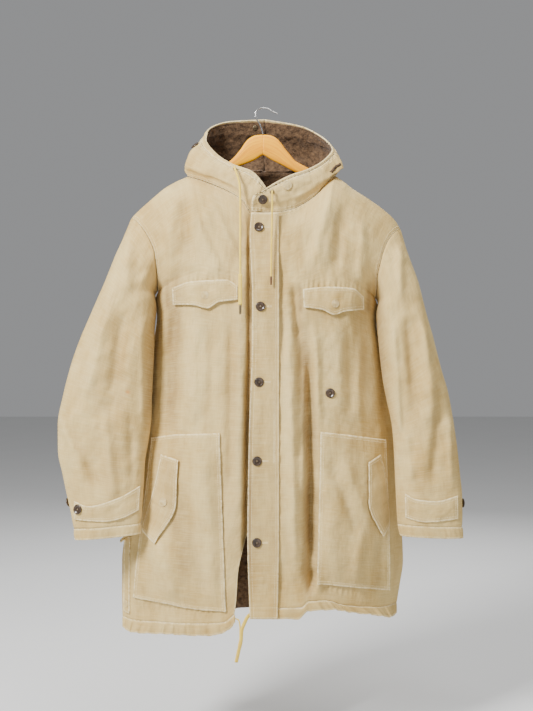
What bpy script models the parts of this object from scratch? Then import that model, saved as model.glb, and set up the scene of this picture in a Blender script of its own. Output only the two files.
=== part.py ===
"""A military parka hanging on a wooden hanger.

Metres, +Z up. The front faces -Y and the hook's inner crest is the origin. Left and right are
the viewer's, so the left side has negative X. Each sewn piece is a wall made from a grid of points,
and the pieces that meet at a seam share that seam's points, so they stay SEAM apart.
"""

import math
from collections import namedtuple

import bpy
import numpy as np
from mathutils import Vector
from mathutils.bvhtree import BVHTree

# Driving dimensions
CLOTH = 0.0018
PILE = 0.0030
SEAM = 0.0003
LIFT = 0.0006
SEAT = 0.0008
MITRE = 1.5
MOST_MITRE = 1.35
SHOULDER_ROUND = 0.060
PANEL_POWER = 2.8
ARMHOLE_POWER = 5.0
TOP_REACH = 4
BUTTON_WIDTH = 0.0206
BUTTON_HEIGHT = 0.0032
WIRE_WIDTH = 0.0030
WOOD_DEPTH = 0.0140
HOOD_CORD = 0.0045
HOOD_CORD_STEPS = 22
HEM_CORD = 0.0080
THIN_CORD = 0.0037
HEM_STRAND = 0.0028

Point = namedtuple("Point", "x y z")
Fold = namedtuple("Fold", "x_top z_top x_low z_low width height")
Section = namedtuple("Section", "outer_x outer_z inner_x inner_z y depth")
Spoke = namedtuple("Spoke", "share out up low_x low_y low_z high_x high_y high_z rim_x rim_y rim_z")
Button = namedtuple("Button", "name x z width height")
Stick = namedtuple("Stick", "x top bottom")
Patch = namedtuple("Patch", "name side top bottom rows columns belly lip")
Snap = namedtuple("Snap", "name side x z width")

# How finely the seams are divided, as shares of their length
SIDE_STEPS = (0, 0.06, 0.13, 0.21, 0.30, 0.39, 0.48, 0.57, 0.66, 0.75, 0.84, 0.93)
ARM_STEPS = (0, 0.11, 0.24, 0.38, 0.52, 0.66, 0.79, 0.89, 0.955, 1)
NECK_STEPS = (0, 0.12, 0.24, 0.36, 0.50, 0.64, 0.78, 0.90)
SHOULDER_STEPS = (0, 0.15, 0.32, 0.50, 0.67, 0.84, 1)
BACK_NECK_STEPS = (0, 0.12, 0.24, 0.38, 0.5, 0.62, 0.76, 0.88, 1)

# The seams of each side, bottom to top or centre to outside
CENTRE = {
    "left": (
        Point(-0.066, -0.070, -1.094),
        Point(-0.062, -0.074, -1.064),
        Point(-0.058, -0.076, -1.006),
        Point(-0.050, -0.077, -0.964),
        Point(-0.042, -0.078, -0.934),
        Point(-0.024, -0.080, -0.881),
        Point(-0.011, -0.081, -0.807),
        Point(-0.009, -0.082, -0.595),
        Point(-0.009, -0.080, -0.404),
        Point(-0.009, -0.074, -0.297),
        Point(-0.009, -0.066, -0.238),
    ),
    "right": (
        Point(-0.003, -0.073, -1.080),
        Point(-0.003, -0.081, -0.934),
        Point(-0.003, -0.086, -0.595),
        Point(-0.003, -0.084, -0.404),
        Point(-0.003, -0.078, -0.297),
        Point(-0.003, -0.070, -0.238),
    ),
}
SIDE = {
    "left": (
        Point(-0.321, 0.045, -1.127),
        Point(-0.322, 0.045, -1.069),
        Point(-0.322, 0.044, -1.002),
        Point(-0.313, 0.042, -0.934),
        Point(-0.292, 0.036, -0.799),
        Point(-0.266, 0.028, -0.642),
        Point(-0.248, 0.018, -0.520),
        Point(-0.232, 0.008, -0.440),
        Point(-0.237, 0.003, -0.403),
    ),
    "right": (
        Point(0.295, 0.045, -1.096),
        Point(0.302, 0.045, -1.054),
        Point(0.309, 0.044, -1.002),
        Point(0.306, 0.042, -0.934),
        Point(0.296, 0.036, -0.799),
        Point(0.273, 0.028, -0.642),
        Point(0.255, 0.018, -0.530),
        Point(0.237, 0.008, -0.457),
        Point(0.243, 0.003, -0.420),
    ),
}
ARMHOLE_FRONT = {
    "left": (
        Point(-0.237, 0.003, -0.403),
        Point(-0.236, -0.014, -0.391),
        Point(-0.235, -0.034, -0.364),
        Point(-0.238, -0.048, -0.325),
        Point(-0.257, -0.040, -0.281),
        Point(-0.283, -0.018, -0.249),
        Point(-0.295, 0.000, -0.241),
    ),
    "right": (
        Point(0.243, 0.003, -0.420),
        Point(0.243, -0.014, -0.407),
        Point(0.242, -0.034, -0.377),
        Point(0.250, -0.048, -0.333),
        Point(0.264, -0.040, -0.297),
        Point(0.286, -0.018, -0.271),
        Point(0.297, 0.000, -0.264),
    ),
}
NECK = {
    "left": (
        Point(-0.009, -0.066, -0.238),
        Point(-0.032, -0.066, -0.234),
        Point(-0.048, -0.062, -0.212),
        Point(-0.080, -0.052, -0.190),
        Point(-0.128, -0.034, -0.167),
        Point(-0.171, -0.002, -0.149),
    ),
    "right": (
        Point(-0.003, -0.070, -0.238),
        Point(0.025, -0.070, -0.237),
        Point(0.055, -0.065, -0.231),
        Point(0.081, -0.058, -0.218),
        Point(0.107, -0.050, -0.199),
        Point(0.135, -0.028, -0.168),
        Point(0.155, -0.002, -0.148),
    ),
}
SHOULDER = {
    "left": (
        Point(-0.171, -0.002, -0.149),
        Point(-0.192, 0.000, -0.159),
        Point(-0.219, 0.000, -0.174),
        Point(-0.252, 0.000, -0.201),
        Point(-0.280, 0.000, -0.226),
        Point(-0.295, 0.000, -0.241),
    ),
    "right": (
        Point(0.155, -0.002, -0.148),
        Point(0.171, 0.000, -0.160),
        Point(0.188, 0.000, -0.174),
        Point(0.230, 0.000, -0.201),
        Point(0.259, 0.000, -0.222),
        Point(0.285, 0.000, -0.246),
        Point(0.297, 0.000, -0.264),
    ),
}
BACK_NECK = (
    Point(-0.171, -0.002, -0.149),
    Point(-0.145, 0.028, -0.143),
    Point(-0.090, 0.046, -0.139),
    Point(-0.005, 0.055, -0.137),
    Point(0.080, 0.046, -0.139),
    Point(0.128, 0.028, -0.143),
    Point(0.155, -0.002, -0.148),
)
HEM_SEAM = {
    "left": (
        Point(-0.066, -0.070, -1.094),
        Point(-0.090, -0.066, -1.112),
        Point(-0.170, -0.048, -1.119),
        Point(-0.230, -0.020, -1.123),
        Point(-0.298, 0.020, -1.128),
        Point(-0.321, 0.045, -1.127),
    ),
    "right": (
        Point(-0.003, -0.073, -1.080),
        Point(0.076, -0.073, -1.079),
        Point(0.093, -0.070, -1.066),
        Point(0.127, -0.062, -1.066),
        Point(0.165, -0.050, -1.078),
        Point(0.210, -0.030, -1.087),
        Point(0.270, 0.015, -1.096),
        Point(0.295, 0.045, -1.096),
    ),
}
HEM_EDGE = {
    "left": (
        Point(-0.064, -0.070, -1.110),
        Point(-0.076, -0.068, -1.126),
        Point(-0.112, -0.060, -1.142),
        Point(-0.222, -0.020, -1.150),
        Point(-0.301, 0.020, -1.156),
        Point(-0.321, 0.045, -1.152),
    ),
    "right": (
        Point(-0.003, -0.072, -1.103),
        Point(0.070, -0.072, -1.104),
        Point(0.093, -0.070, -1.087),
        Point(0.140, -0.060, -1.087),
        Point(0.188, -0.045, -1.097),
        Point(0.242, -0.020, -1.109),
        Point(0.283, 0.020, -1.122),
        Point(0.295, 0.045, -1.120),
    ),
}
BACK_DEPTH = 0.072
BACK_HEM_RISE = 0.024
BACK_HEM_HEIGHT = 0.025
LINING_COLUMN = 5
LINING_ROW = 4
PLACKET_ROWS = 22
PRESSES = 3
HEM_GATHERS = 12
HEM_GATHER_DEPTH = 0.0022
GATHER_FADE = 0.08

# Long soft folds of the fronts. A negative height is a valley.
FRONT_FOLDS = {
    "left": (
        Fold(-0.052, -0.300, -0.058, -0.960, 0.012, 0.006),
        Fold(-0.150, -0.200, -0.092, -0.400, 0.022, 0.007),
        Fold(-0.185, -0.330, -0.205, -0.560, 0.020, -0.006),
        Fold(-0.130, -0.440, -0.150, -0.900, 0.030, 0.006),
        Fold(-0.215, -0.760, -0.150, -1.060, 0.022, -0.008),
        Fold(-0.250, -0.900, -0.225, -1.100, 0.020, 0.007),
        Fold(-0.095, -0.700, -0.100, -1.080, 0.016, -0.005),
    ),
    "right": (
        Fold(0.068, -0.420, 0.092, -0.800, 0.015, -0.012),
        Fold(0.092, -0.800, 0.095, -1.060, 0.014, -0.015),
        Fold(0.055, -0.420, 0.060, -0.980, 0.022, 0.007),
        Fold(0.150, -0.190, 0.110, -0.380, 0.020, 0.006),
        Fold(0.150, -0.450, 0.170, -0.700, 0.026, 0.008),
        Fold(0.205, -0.400, 0.215, -0.640, 0.018, -0.008),
        Fold(0.140, -0.780, 0.150, -1.040, 0.022, 0.006),
    ),
}
BACK_FOLDS = (
    Fold(-0.100, -0.260, -0.140, -0.900, 0.030, 0.006),
    Fold(0.020, -0.300, 0.040, -1.050, 0.034, 0.007),
    Fold(0.120, -0.260, 0.160, -0.820, 0.028, 0.006),
    Fold(-0.020, -0.500, -0.050, -1.060, 0.026, -0.006),
    Fold(0.100, -0.600, 0.110, -1.060, 0.024, -0.007),
)

# Sleeves from the armhole down to the cuff seam
SLEEVE = {
    "left": (
        Section(-0.295, -0.241, -0.237, -0.403, 0.000, 0.046),
        Section(-0.303, -0.262, -0.243, -0.410, -0.003, 0.048),
        Section(-0.314, -0.290, -0.247, -0.425, -0.007, 0.050),
        Section(-0.327, -0.321, -0.247, -0.450, -0.011, 0.052),
        Section(-0.350, -0.382, -0.246, -0.485, -0.016, 0.054),
        Section(-0.376, -0.444, -0.244, -0.530, -0.020, 0.055),
        Section(-0.402, -0.505, -0.245, -0.579, -0.022, 0.054),
        Section(-0.423, -0.566, -0.247, -0.630, -0.024, 0.052),
        Section(-0.438, -0.626, -0.248, -0.680, -0.026, 0.050),
        Section(-0.450, -0.690, -0.254, -0.728, -0.028, 0.048),
        Section(-0.449, -0.748, -0.261, -0.772, -0.031, 0.044),
        Section(-0.439, -0.795, -0.263, -0.815, -0.036, 0.040),
        Section(-0.429, -0.838, -0.265, -0.855, -0.041, 0.036),
        Section(-0.419, -0.878, -0.266, -0.885, -0.046, 0.031),
        Section(-0.412, -0.914, -0.268, -0.902, -0.048, 0.028),
    ),
    "right": (
        Section(0.297, -0.264, 0.243, -0.420, 0.000, 0.046),
        Section(0.302, -0.282, 0.248, -0.427, -0.003, 0.048),
        Section(0.307, -0.302, 0.251, -0.443, -0.007, 0.050),
        Section(0.314, -0.326, 0.251, -0.466, -0.011, 0.052),
        Section(0.333, -0.382, 0.250, -0.500, -0.016, 0.054),
        Section(0.348, -0.444, 0.251, -0.540, -0.020, 0.055),
        Section(0.365, -0.505, 0.256, -0.594, -0.022, 0.054),
        Section(0.380, -0.566, 0.265, -0.644, -0.024, 0.052),
        Section(0.397, -0.626, 0.275, -0.694, -0.026, 0.050),
        Section(0.408, -0.690, 0.278, -0.730, -0.028, 0.048),
        Section(0.416, -0.748, 0.280, -0.770, -0.031, 0.044),
        Section(0.420, -0.795, 0.281, -0.812, -0.036, 0.040),
        Section(0.424, -0.845, 0.282, -0.852, -0.042, 0.036),
        Section(0.424, -0.880, 0.283, -0.880, -0.046, 0.031),
        Section(0.423, -0.909, 0.284, -0.904, -0.048, 0.028),
    ),
}
CUFF_END = {
    "left": Section(-0.409, -0.938, -0.269, -0.925, -0.050, 0.024),
    "right": Section(0.425, -0.934, 0.290, -0.929, -0.050, 0.024),
}
SLEEVE_FOLDS = {
    "left": (
        Fold(-0.300, -0.520, -0.380, -0.840, 0.020, -0.007),
        Fold(-0.270, -0.450, -0.300, -0.760, 0.020, 0.006),
        Fold(-0.290, -0.300, -0.350, -0.470, 0.022, 0.006),
    ),
    "right": (
        Fold(0.300, -0.380, 0.330, -0.620, 0.018, -0.006),
        Fold(0.350, -0.560, 0.345, -0.820, 0.022, 0.006),
        Fold(0.290, -0.600, 0.310, -0.800, 0.014, -0.005),
    ),
}

# The hood, by spokes from its front end round to the centre of the back. share is the place along
# the neck seam, and out and up are how the cloth starts from it.
HOOD = {
    "left": (
        Spoke(0.000, 0.000, 0.012, 0.018, -0.0640, -0.224, 0.016, -0.0650, -0.214, 0.014, -0.066, -0.203),
        Spoke(0.115, 0.002, 0.012, -0.030, -0.0690, -0.210, -0.022, -0.0690, -0.186, -0.011, -0.067, -0.166),
        Spoke(0.188, 0.003, 0.012, -0.052, -0.0670, -0.188, -0.044, -0.0660, -0.168, -0.028, -0.063, -0.149),
        Spoke(0.284, 0.004, 0.012, -0.088, -0.0600, -0.168, -0.084, -0.0590, -0.148, -0.070, -0.046, -0.130),
        Spoke(0.420, 0.005, 0.012, -0.138, -0.0400, -0.146, -0.132, -0.0330, -0.120, -0.108, -0.016, -0.100),
        Spoke(0.557, 0.006, 0.013, -0.178, -0.0010, -0.127, -0.161, 0.0080, -0.088, -0.131, 0.022, -0.061),
        Spoke(0.653, 0.010, 0.011, -0.168, 0.0500, -0.132, -0.153, 0.0560, -0.075, -0.129, 0.047, -0.036),
        Spoke(0.793, 0.014, 0.006, -0.116, 0.0880, -0.158, -0.110, 0.1050, -0.080, -0.086, 0.071, -0.011),
        Spoke(1.000, 0.016, 0.003, -0.005, 0.1000, -0.176, -0.002, 0.1240, -0.090, -0.001, 0.084, -0.003),
    ),
    "right": (
        Spoke(0.000, 0.002, 0.010, -0.029, -0.0810, -0.222, -0.028, -0.0830, -0.214, -0.026, -0.084, -0.205),
        Spoke(0.040, 0.003, 0.010, -0.014, -0.0810, -0.218, -0.012, -0.0830, -0.206, -0.008, -0.083, -0.195),
        Spoke(0.115, 0.003, 0.011, 0.016, -0.0800, -0.214, 0.014, -0.0820, -0.196, 0.012, -0.079, -0.181),
        Spoke(0.211, 0.003, 0.011, 0.056, -0.0740, -0.206, 0.054, -0.0740, -0.180, 0.052, -0.067, -0.158),
        Spoke(0.335, 0.004, 0.012, 0.100, -0.0600, -0.184, 0.098, -0.0570, -0.160, 0.090, -0.050, -0.142),
        Spoke(0.476, 0.005, 0.012, 0.146, -0.0320, -0.152, 0.141, -0.0240, -0.130, 0.126, -0.021, -0.117),
        Spoke(0.568, 0.006, 0.013, 0.171, -0.0010, -0.130, 0.163, 0.0080, -0.106, 0.147, 0.014, -0.086),
        Spoke(0.667, 0.010, 0.011, 0.163, 0.0500, -0.128, 0.157, 0.0550, -0.085, 0.139, 0.041, -0.063),
        Spoke(0.793, 0.014, 0.006, 0.114, 0.0880, -0.156, 0.110, 0.1050, -0.080, 0.086, 0.074, -0.022),
        Spoke(1.000, 0.016, 0.003, -0.005, 0.1000, -0.176, -0.002, 0.1240, -0.090, -0.001, 0.084, -0.003),
    ),
}
HOOD_LEVELS = (0, 0.10, 0.22, 0.36, 0.50, 0.64, 0.78, 0.90)
RIM_LEVELS = (0.90, 0.955, 1)
COLLAR_END = {
    "left": (Point(0.018, -0.0620, -0.240), Point(0.005, -0.0640, -0.239)),
    "right": (Point(-0.029, -0.0775, -0.2365), Point(-0.016, -0.0745, -0.237)),
}
NECK_AXIS = Point(-0.006, 0.000, -0.150)
HOOD_MIDDLE = Point(-0.005, 0.035, -0.085)

PLACKET_LEFT = (
    Point(-0.030, 0, -0.2395),
    Point(-0.033, 0, -0.279),
    Point(-0.031, 0, -0.344),
    Point(-0.028, 0, -0.408),
    Point(-0.028, 0, -0.495),
    Point(-0.035, 0, -0.721),
    Point(-0.038, 0, -0.933),
    Point(-0.034, 0, -1.080),
    Point(-0.033, 0, -1.102),
)
PLACKET_RIGHT = (
    Point(0.028, 0, -0.2385),
    Point(0.029, 0, -0.425),
    Point(0.029, 0, -0.933),
    Point(0.026, 0, -1.102),
)

# Flaps and pockets as outlines: top, bottom, and the rise of their middle and lower edge
PATCHES = (
    Patch(
        "pocket_lower_left",
        "left",
        ((-0.250, -0.722), (-0.182, -0.711), (-0.097, -0.707)),
        ((-0.292, -1.076), (-0.215, -1.079), (-0.172, -1.085), (-0.084, -1.089)),
        14,
        8,
        0.006,
        0.000,
    ),
    Patch(
        "pocket_lower_right",
        "right",
        ((0.117, -0.704), (0.190, -0.714), (0.266, -0.727)),
        ((0.110, -1.029), (0.160, -1.037), (0.215, -1.047), (0.276, -1.062)),
        14,
        8,
        0.007,
        0.000,
    ),
    Patch(
        "side_strip_left",
        "left",
        ((-0.3150, -0.945), (-0.3000, -0.945)),
        ((-0.3180, -1.115), (-0.3020, -1.117)),
        9,
        3,
        0.000,
        0.000,
    ),
    Patch(
        "flap_chest_left",
        "left",
        ((-0.201, -0.397), (-0.158, -0.385), (-0.082, -0.382), (-0.059, -0.395)),
        ((-0.199, -0.434), (-0.153, -0.436), (-0.123, -0.443), (-0.098, -0.430), (-0.058, -0.425)),
        4,
        10,
        0.003,
        0.003,
    ),
    Patch(
        "flap_chest_right",
        "right",
        ((0.079, -0.402), (0.132, -0.397), (0.186, -0.399), (0.212, -0.417)),
        ((0.081, -0.441), (0.119, -0.446), (0.146, -0.457), (0.168, -0.450), (0.213, -0.444)),
        4,
        10,
        0.003,
        0.003,
    ),
    Patch(
        "flap_hand_left",
        "left",
        ((-0.226, -0.756), (-0.247, -0.845), (-0.268, -0.912), (-0.270, -0.925)),
        ((-0.186, -0.766), (-0.189, -0.806), (-0.191, -0.860), (-0.238, -0.946)),
        9,
        5,
        0.002,
        0.003,
    ),
    Patch(
        "flap_hand_right",
        "right",
        ((0.252, -0.758), (0.266, -0.812), (0.271, -0.870), (0.274, -0.912)),
        ((0.222, -0.772), (0.222, -0.792), (0.222, -0.858), (0.256, -0.937)),
        9,
        5,
        0.002,
        0.003,
    ),
)

PLACKET_BUTTONS = (
    Button("button_front_1", -0.0137, -0.2706, BUTTON_WIDTH, BUTTON_HEIGHT),
    Button("button_front_2", -0.0105, -0.4392, BUTTON_WIDTH, BUTTON_HEIGHT),
    Button("button_front_3", -0.0134, -0.5987, BUTTON_WIDTH, BUTTON_HEIGHT),
    Button("button_front_4", -0.0177, -0.7656, BUTTON_WIDTH, BUTTON_HEIGHT),
    Button("button_front_5", -0.0181, -0.9385, BUTTON_WIDTH, BUTTON_HEIGHT),
)

STORM_BUTTON = Button("button_storm", 0.1380, -0.6226, BUTTON_WIDTH, BUTTON_HEIGHT)
COLLAR_BUTTON = Button("button_collar", -0.0060, -0.2125, BUTTON_WIDTH, BUTTON_HEIGHT)
CUFF_BUTTON = Button("button_cuff_left", -0.3984, -0.8700, BUTTON_WIDTH, BUTTON_HEIGHT)
TABS = (
    Patch(
        "cuff_tab_left",
        "left",
        ((-0.268, -0.822), (-0.312, -0.845), (-0.378, -0.862), (-0.408, -0.853)),
        ((-0.270, -0.873), (-0.305, -0.889), (-0.340, -0.8955), (-0.408, -0.893)),
        4,
        9,
        0.002,
        0.0,
    ),
    Patch(
        "cuff_tab_right",
        "right",
        ((0.297, -0.836), (0.318, -0.847), (0.362, -0.851), (0.411, -0.841)),
        ((0.298, -0.888), (0.314, -0.893), (0.339, -0.8965), (0.411, -0.891)),
        4,
        9,
        0.002,
        0.0,
    ),
)
FLAP_SNAPS = (
    Snap("snap_chest_left", "left", -0.1275, -0.4145, 0.0176),
    Snap("snap_chest_right", "right", 0.1483, -0.4330, 0.0176),
    Snap("snap_hand_left", "left", -0.2200, -0.8580, 0.0200),
    Snap("snap_side_left", "left", -0.3100, -1.0950, 0.0176),
)
EYELETS = (Point(-0.0655, 0, -0.1440), Point(0.0141, 0, -0.1960))
HOOD_CORD_LEFT = (
    Point(-0.0600, -0.0770, -0.160),
    Point(-0.0545, -0.0820, -0.180),
    Point(-0.0530, -0.0860, -0.220),
    Point(-0.0528, -0.0950, -0.300),
    Point(-0.0527, -0.1000, -0.372),
)
HOOD_CORD_RIGHT = (
    Point(0.0145, -0.0905, -0.212),
    Point(0.0140, -0.0910, -0.240),
    Point(0.0130, -0.0930, -0.300),
    Point(0.0120, -0.0945, -0.376),
)
HEM_CORD_RIGHT = (
    Point(-0.0042, -0.0715, -1.0900),
    Point(-0.0200, -0.0715, -1.0915),
    Point(-0.0340, -0.0722, -1.0950),
    Point(-0.0440, -0.0765, -1.110),
    Point(-0.0506, -0.0790, -1.129),
    Point(-0.0516, -0.0800, -1.147),
    Point(-0.0567, -0.0800, -1.169),
    Point(-0.0618, -0.0795, -1.193),
)
HEM_CORD_LEFT = (
    Point(-0.0641, -0.0690, -1.1030),
    Point(-0.0565, -0.0700, -1.1065),
    Point(-0.0540, -0.0728, -1.1220),
    Point(-0.0540, -0.0763, -1.1420),
    Point(-0.0575, -0.0763, -1.1600),
)

WOOD = (
    Stick(-0.224, -0.1830, -0.1930),
    Stick(-0.221, -0.1797, -0.1990),
    Stick(-0.200, -0.1690, -0.1915),
    Stick(-0.171, -0.1625, -0.1860),
    Stick(-0.120, -0.1410, -0.1660),
    Stick(-0.073, -0.1105, -0.1340),
    Stick(-0.0545, -0.0890, -0.1255),
    Stick(-0.044, -0.0737, -0.1215),
    Stick(-0.035, -0.0645, -0.1180),
    Stick(-0.021, -0.0582, -0.1115),
    Stick(-0.005, -0.0570, -0.1025),
    Stick(0.010, -0.0582, -0.1105),
    Stick(0.022, -0.0632, -0.1168),
    Stick(0.034, -0.0748, -0.1228),
    Stick(0.0435, -0.0880, -0.1278),
    Stick(0.053, -0.0998, -0.1330),
    Stick(0.065, -0.1141, -0.1395),
    Stick(0.081, -0.1235, -0.1470),
    Stick(0.120, -0.1430, -0.1670),
    Stick(0.155, -0.1610, -0.1840),
    Stick(0.188, -0.1785, -0.2000),
    Stick(0.214, -0.1960, -0.2140),
    Stick(0.217, -0.1990, -0.2080),
)
HOOK_WIRE = (
    Point(-0.0050, 0, -0.0562),
    Point(-0.0080, 0, -0.0460),
    Point(-0.0125, 0, -0.0340),
    Point(-0.0215, 0, -0.0160),
    Point(-0.0215, 0, -0.0080),
    Point(-0.0160, 0, -0.0010),
    Point(-0.0080, 0, 0.0015),
    Point(0.0000, 0, 0.0015),
    Point(0.0080, 0, -0.0010),
    Point(0.0160, 0, -0.0060),
    Point(0.0270, 0, -0.0110),
)

COLOURS = {
    "cloth": ((0.52, 0.42, 0.26, 1), 0.85, 0),
    "pile": ((0.10, 0.060, 0.030, 1), 0.95, 0),
    "button": ((0.055, 0.035, 0.022, 1), 0.35, 0),
    "cord": ((0.80, 0.66, 0.32, 1), 0.75, 0),
    "aglet": ((0.10, 0.05, 0.03, 1), 0.45, 0),
    "wood": ((0.58, 0.30, 0.075, 1), 0.40, 0),
    "steel": ((0.55, 0.54, 0.52, 1), 0.30, 1),
    "brass": ((0.30, 0.22, 0.12, 1), 0.45, 1),
}


def clear_scene():
    for found in list(bpy.data.objects):
        bpy.data.objects.remove(found, do_unlink=True)


def xyz(points):
    """Any rows of three numbers as an array."""
    return np.array([tuple(point) for point in points], dtype=float)


def unit(vectors):
    length = np.linalg.norm(vectors, axis=-1, keepdims=True)
    return vectors / np.maximum(length, 1e-12)


def smooth(knots, values, places):
    """A curve through the values at the knots that never overshoots them."""
    knots = np.asarray(knots, dtype=float)
    values = np.asarray(values, dtype=float)
    step = np.diff(knots)[:, None]
    slope = np.diff(values, axis=0) / step
    tangent = np.zeros_like(values)
    tangent[0] = slope[0]
    tangent[-1] = slope[-1]
    same = slope[:-1] * slope[1:] > 0
    weight = step[:-1] + 2 * step[1:]
    other = 2 * step[:-1] + step[1:]
    safe_low = np.where(same, slope[:-1], 1)
    safe_high = np.where(same, slope[1:], 1)
    mean = (weight + other) / (other / safe_high + weight / safe_low)
    tangent[1:-1] = np.where(same, mean, 0)
    places = np.clip(np.asarray(places, dtype=float), knots[0], knots[-1])
    at = np.clip(np.searchsorted(knots, places, side="right") - 1, 0, len(knots) - 2)
    width = (knots[at + 1] - knots[at])[:, None]
    part = ((places - knots[at]) / width[:, 0])[:, None]
    square = part * part
    cube = square * part
    return (
        values[at] * (2 * cube - 3 * square + 1)
        + values[at + 1] * (3 * square - 2 * cube)
        + tangent[at] * width * (cube - 2 * square + part)
        + tangent[at + 1] * width * (cube - square)
    )


def along(points, places):
    """Points at the given shares of the length of a smooth curve through the points."""
    points = xyz(points)
    length = np.concatenate([[0], np.cumsum(np.linalg.norm(np.diff(points, axis=0), axis=1))])
    return smooth(length / length[-1], points, places)


def ease(value):
    value = np.clip(value, 0, 1)
    return value * value * (3 - 2 * value)


def coons(first, last, bottom, top, across, up):
    """The patch between four edges. Its rows go up and its columns go across."""
    across = across[None, :, None]
    up = up[:, None, None] ** TOP_REACH
    sides = (1 - across) * first[:, None] + across * last[:, None]
    ends = (1 - up) * bottom[None] + up * top[None]
    low = (1 - across) * bottom[0] + across * bottom[-1]
    high = (1 - across) * top[0] + across * top[-1]
    return sides + ends - (1 - up) * low - up * high


def fold_rise(folds, x, z):
    """How far the folds raise the cloth at each point."""
    rise = np.zeros_like(x)
    for fold in folds:
        start = np.array([fold.x_top, fold.z_top])
        way = np.array([fold.x_low, fold.z_low]) - start
        length = np.linalg.norm(way)
        way = way / length
        down = (x - start[0]) * way[0] + (z - start[1]) * way[1]
        aside = (x - start[0]) * way[1] - (z - start[1]) * way[0]
        share = down / length
        fade = ease(share / 0.25) * ease((1 - share) / 0.25)
        rise += fold.height * fade * np.exp(-((aside / fold.width) ** 2))
    return rise


def grid_normals(grid, ring, outward):
    """A unit normal at each point of the grid, on the side that outward says for most of them."""
    rows = np.gradient(grid, axis=0)
    if ring:
        columns = np.roll(grid, -1, axis=1) - np.roll(grid, 1, axis=1)
    else:
        columns = np.gradient(grid, axis=1)
    normal = unit(np.cross(rows, columns))
    return normal * np.sign((normal * outward).sum())


def seam_frame(points, inward):
    """The direction across a seam, square to it and to its inward direction."""
    tangent = unit(np.gradient(points, axis=0))
    return unit(np.cross(tangent, inward))


def make_object(name, points, faces, material_name, parent):
    mesh = bpy.data.meshes.new(name)
    mesh.from_pydata([tuple(point) for point in points], [], faces)
    mesh.update()
    return place_object(name, mesh, material_name, parent)


def place_object(name, shape, material_name, parent):
    """The mesh or curve as an object in the scene, with a material of its own."""
    made = bpy.data.objects.new(name, shape)
    bpy.context.scene.collection.objects.link(made)
    colour, roughness, metallic = COLOURS[material_name]
    material = bpy.data.materials.new(name + "_" + material_name)
    material.use_nodes = True
    material.diffuse_color = colour
    shader = material.node_tree.nodes["Principled BSDF"]
    shader.inputs["Base Color"].default_value = colour
    shader.inputs["Roughness"].default_value = roughness
    shader.inputs["Metallic"].default_value = metallic
    shape.materials.append(material)
    made.parent = parent
    return made


def face_out(faces, points):
    """The faces turned round if they enclose a negative volume."""
    points = np.asarray(points)
    corners = points[np.array(faces)]
    volume = np.einsum("ij,ij->i", corners[:, 0], np.cross(corners[:, 1], corners[:, 2])).sum()
    if volume < 0:
        return [face[::-1] for face in faces]
    return faces


def wall(name, outer, inner, material_name, parent, ring=False):
    """A closed wall between an outer and an inner grid of the same size."""
    rows, columns = outer.shape[:2]
    points = np.concatenate([outer.reshape(-1, 3), inner.reshape(-1, 3)])
    shift = rows * columns

    def spot(row, column, layer):
        return layer * shift + row * columns + column % columns

    faces = []
    last = columns if ring else columns - 1
    for row in range(rows - 1):
        for column in range(last):
            corner = [(row, column), (row, column + 1), (row + 1, column + 1), (row + 1, column)]
            for layer in (0, 1):
                a, b, c, d = [spot(r, k, layer) for r, k in corner]
                if layer == 0:
                    faces += [(a, b, c), (a, c, d)]
                else:
                    faces += [(c, b, a), (d, c, a)]
    border = [[(0, k) for k in range(last + 1)], [(rows - 1, k) for k in range(last, -1, -1)]]
    if not ring:
        border.append([(r, columns - 1) for r in range(rows)])
        border.append([(r, 0) for r in range(rows - 1, -1, -1)])
    for line in border:
        for start, end in zip(line[:-1], line[1:]):
            a, b = spot(*start, 0), spot(*end, 0)
            c, d = spot(*end, 1), spot(*start, 1)
            # The shorter diagonal, so that both pieces of a seam are split alike
            if np.linalg.norm(points[a] - points[c]) < np.linalg.norm(points[b] - points[d]):
                faces += [(a, d, c), (a, c, b)]
            else:
                faces += [(a, d, b), (b, d, c)]
    return make_object(name, points, face_out(faces, points), material_name, parent)


def skin(*grids):
    """The outer faces of some grids, to lay other pieces on."""
    points = []
    faces = []
    for grid in grids:
        start = len(points)
        rows, columns = grid.shape[:2]
        points += [tuple(point) for point in grid.reshape(-1, 3)]
        for row in range(rows - 1):
            for column in range(columns - 1):
                a = start + row * columns + column
                d = a + columns
                faces += [(a, a + 1, d + 1), (a, d + 1, d)]
    return BVHTree.FromPolygons(points, faces)


def front_of(surface, x, z):
    """Where a straight line from the front meets the surface, and the normal there."""
    place, normal, _, _ = surface.ray_cast(Vector((x, -1, z)), Vector((0, 1, 0)))
    if place is None:
        place, normal, _, _ = surface.find_nearest(Vector((x, -0.06, z)))
    if normal.y > 0:
        normal = -normal
    return place, normal


def lie_on(surface, flat, rise):
    """The flat grid of X and Z laid in front of the surface, each point by its own rise."""
    rows, columns = flat.shape[:2]
    laid = np.zeros((rows, columns, 3))
    for row in range(rows):
        for column in range(columns):
            x, z = flat[row, column]
            place, normal = front_of(surface, x, z)
            lift = rise[row, column] / max(-normal.y, 0.5)
            laid[row, column] = (x, place.y - lift, z)
    shares = [(a, b) for a in (0, 0.25, 0.5, 0.75, 1) for b in (0, 0.25, 0.5, 0.75, 1)]
    for _ in range(PRESSES):
        for row in range(rows - 1):
            for column in range(columns - 1):
                cell = laid[row : row + 2, column : column + 2]
                need = 0.0
                for up, over in shares:
                    low = cell[0, 0] * (1 - over) + cell[0, 1] * over
                    high = cell[1, 0] * (1 - over) + cell[1, 1] * over
                    spot = low * (1 - up) + high * up
                    place, _ = front_of(surface, spot[0], spot[2])
                    need = max(need, spot[1] - place.y + LIFT)
                cell[:, :, 1] -= need
    return laid


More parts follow.
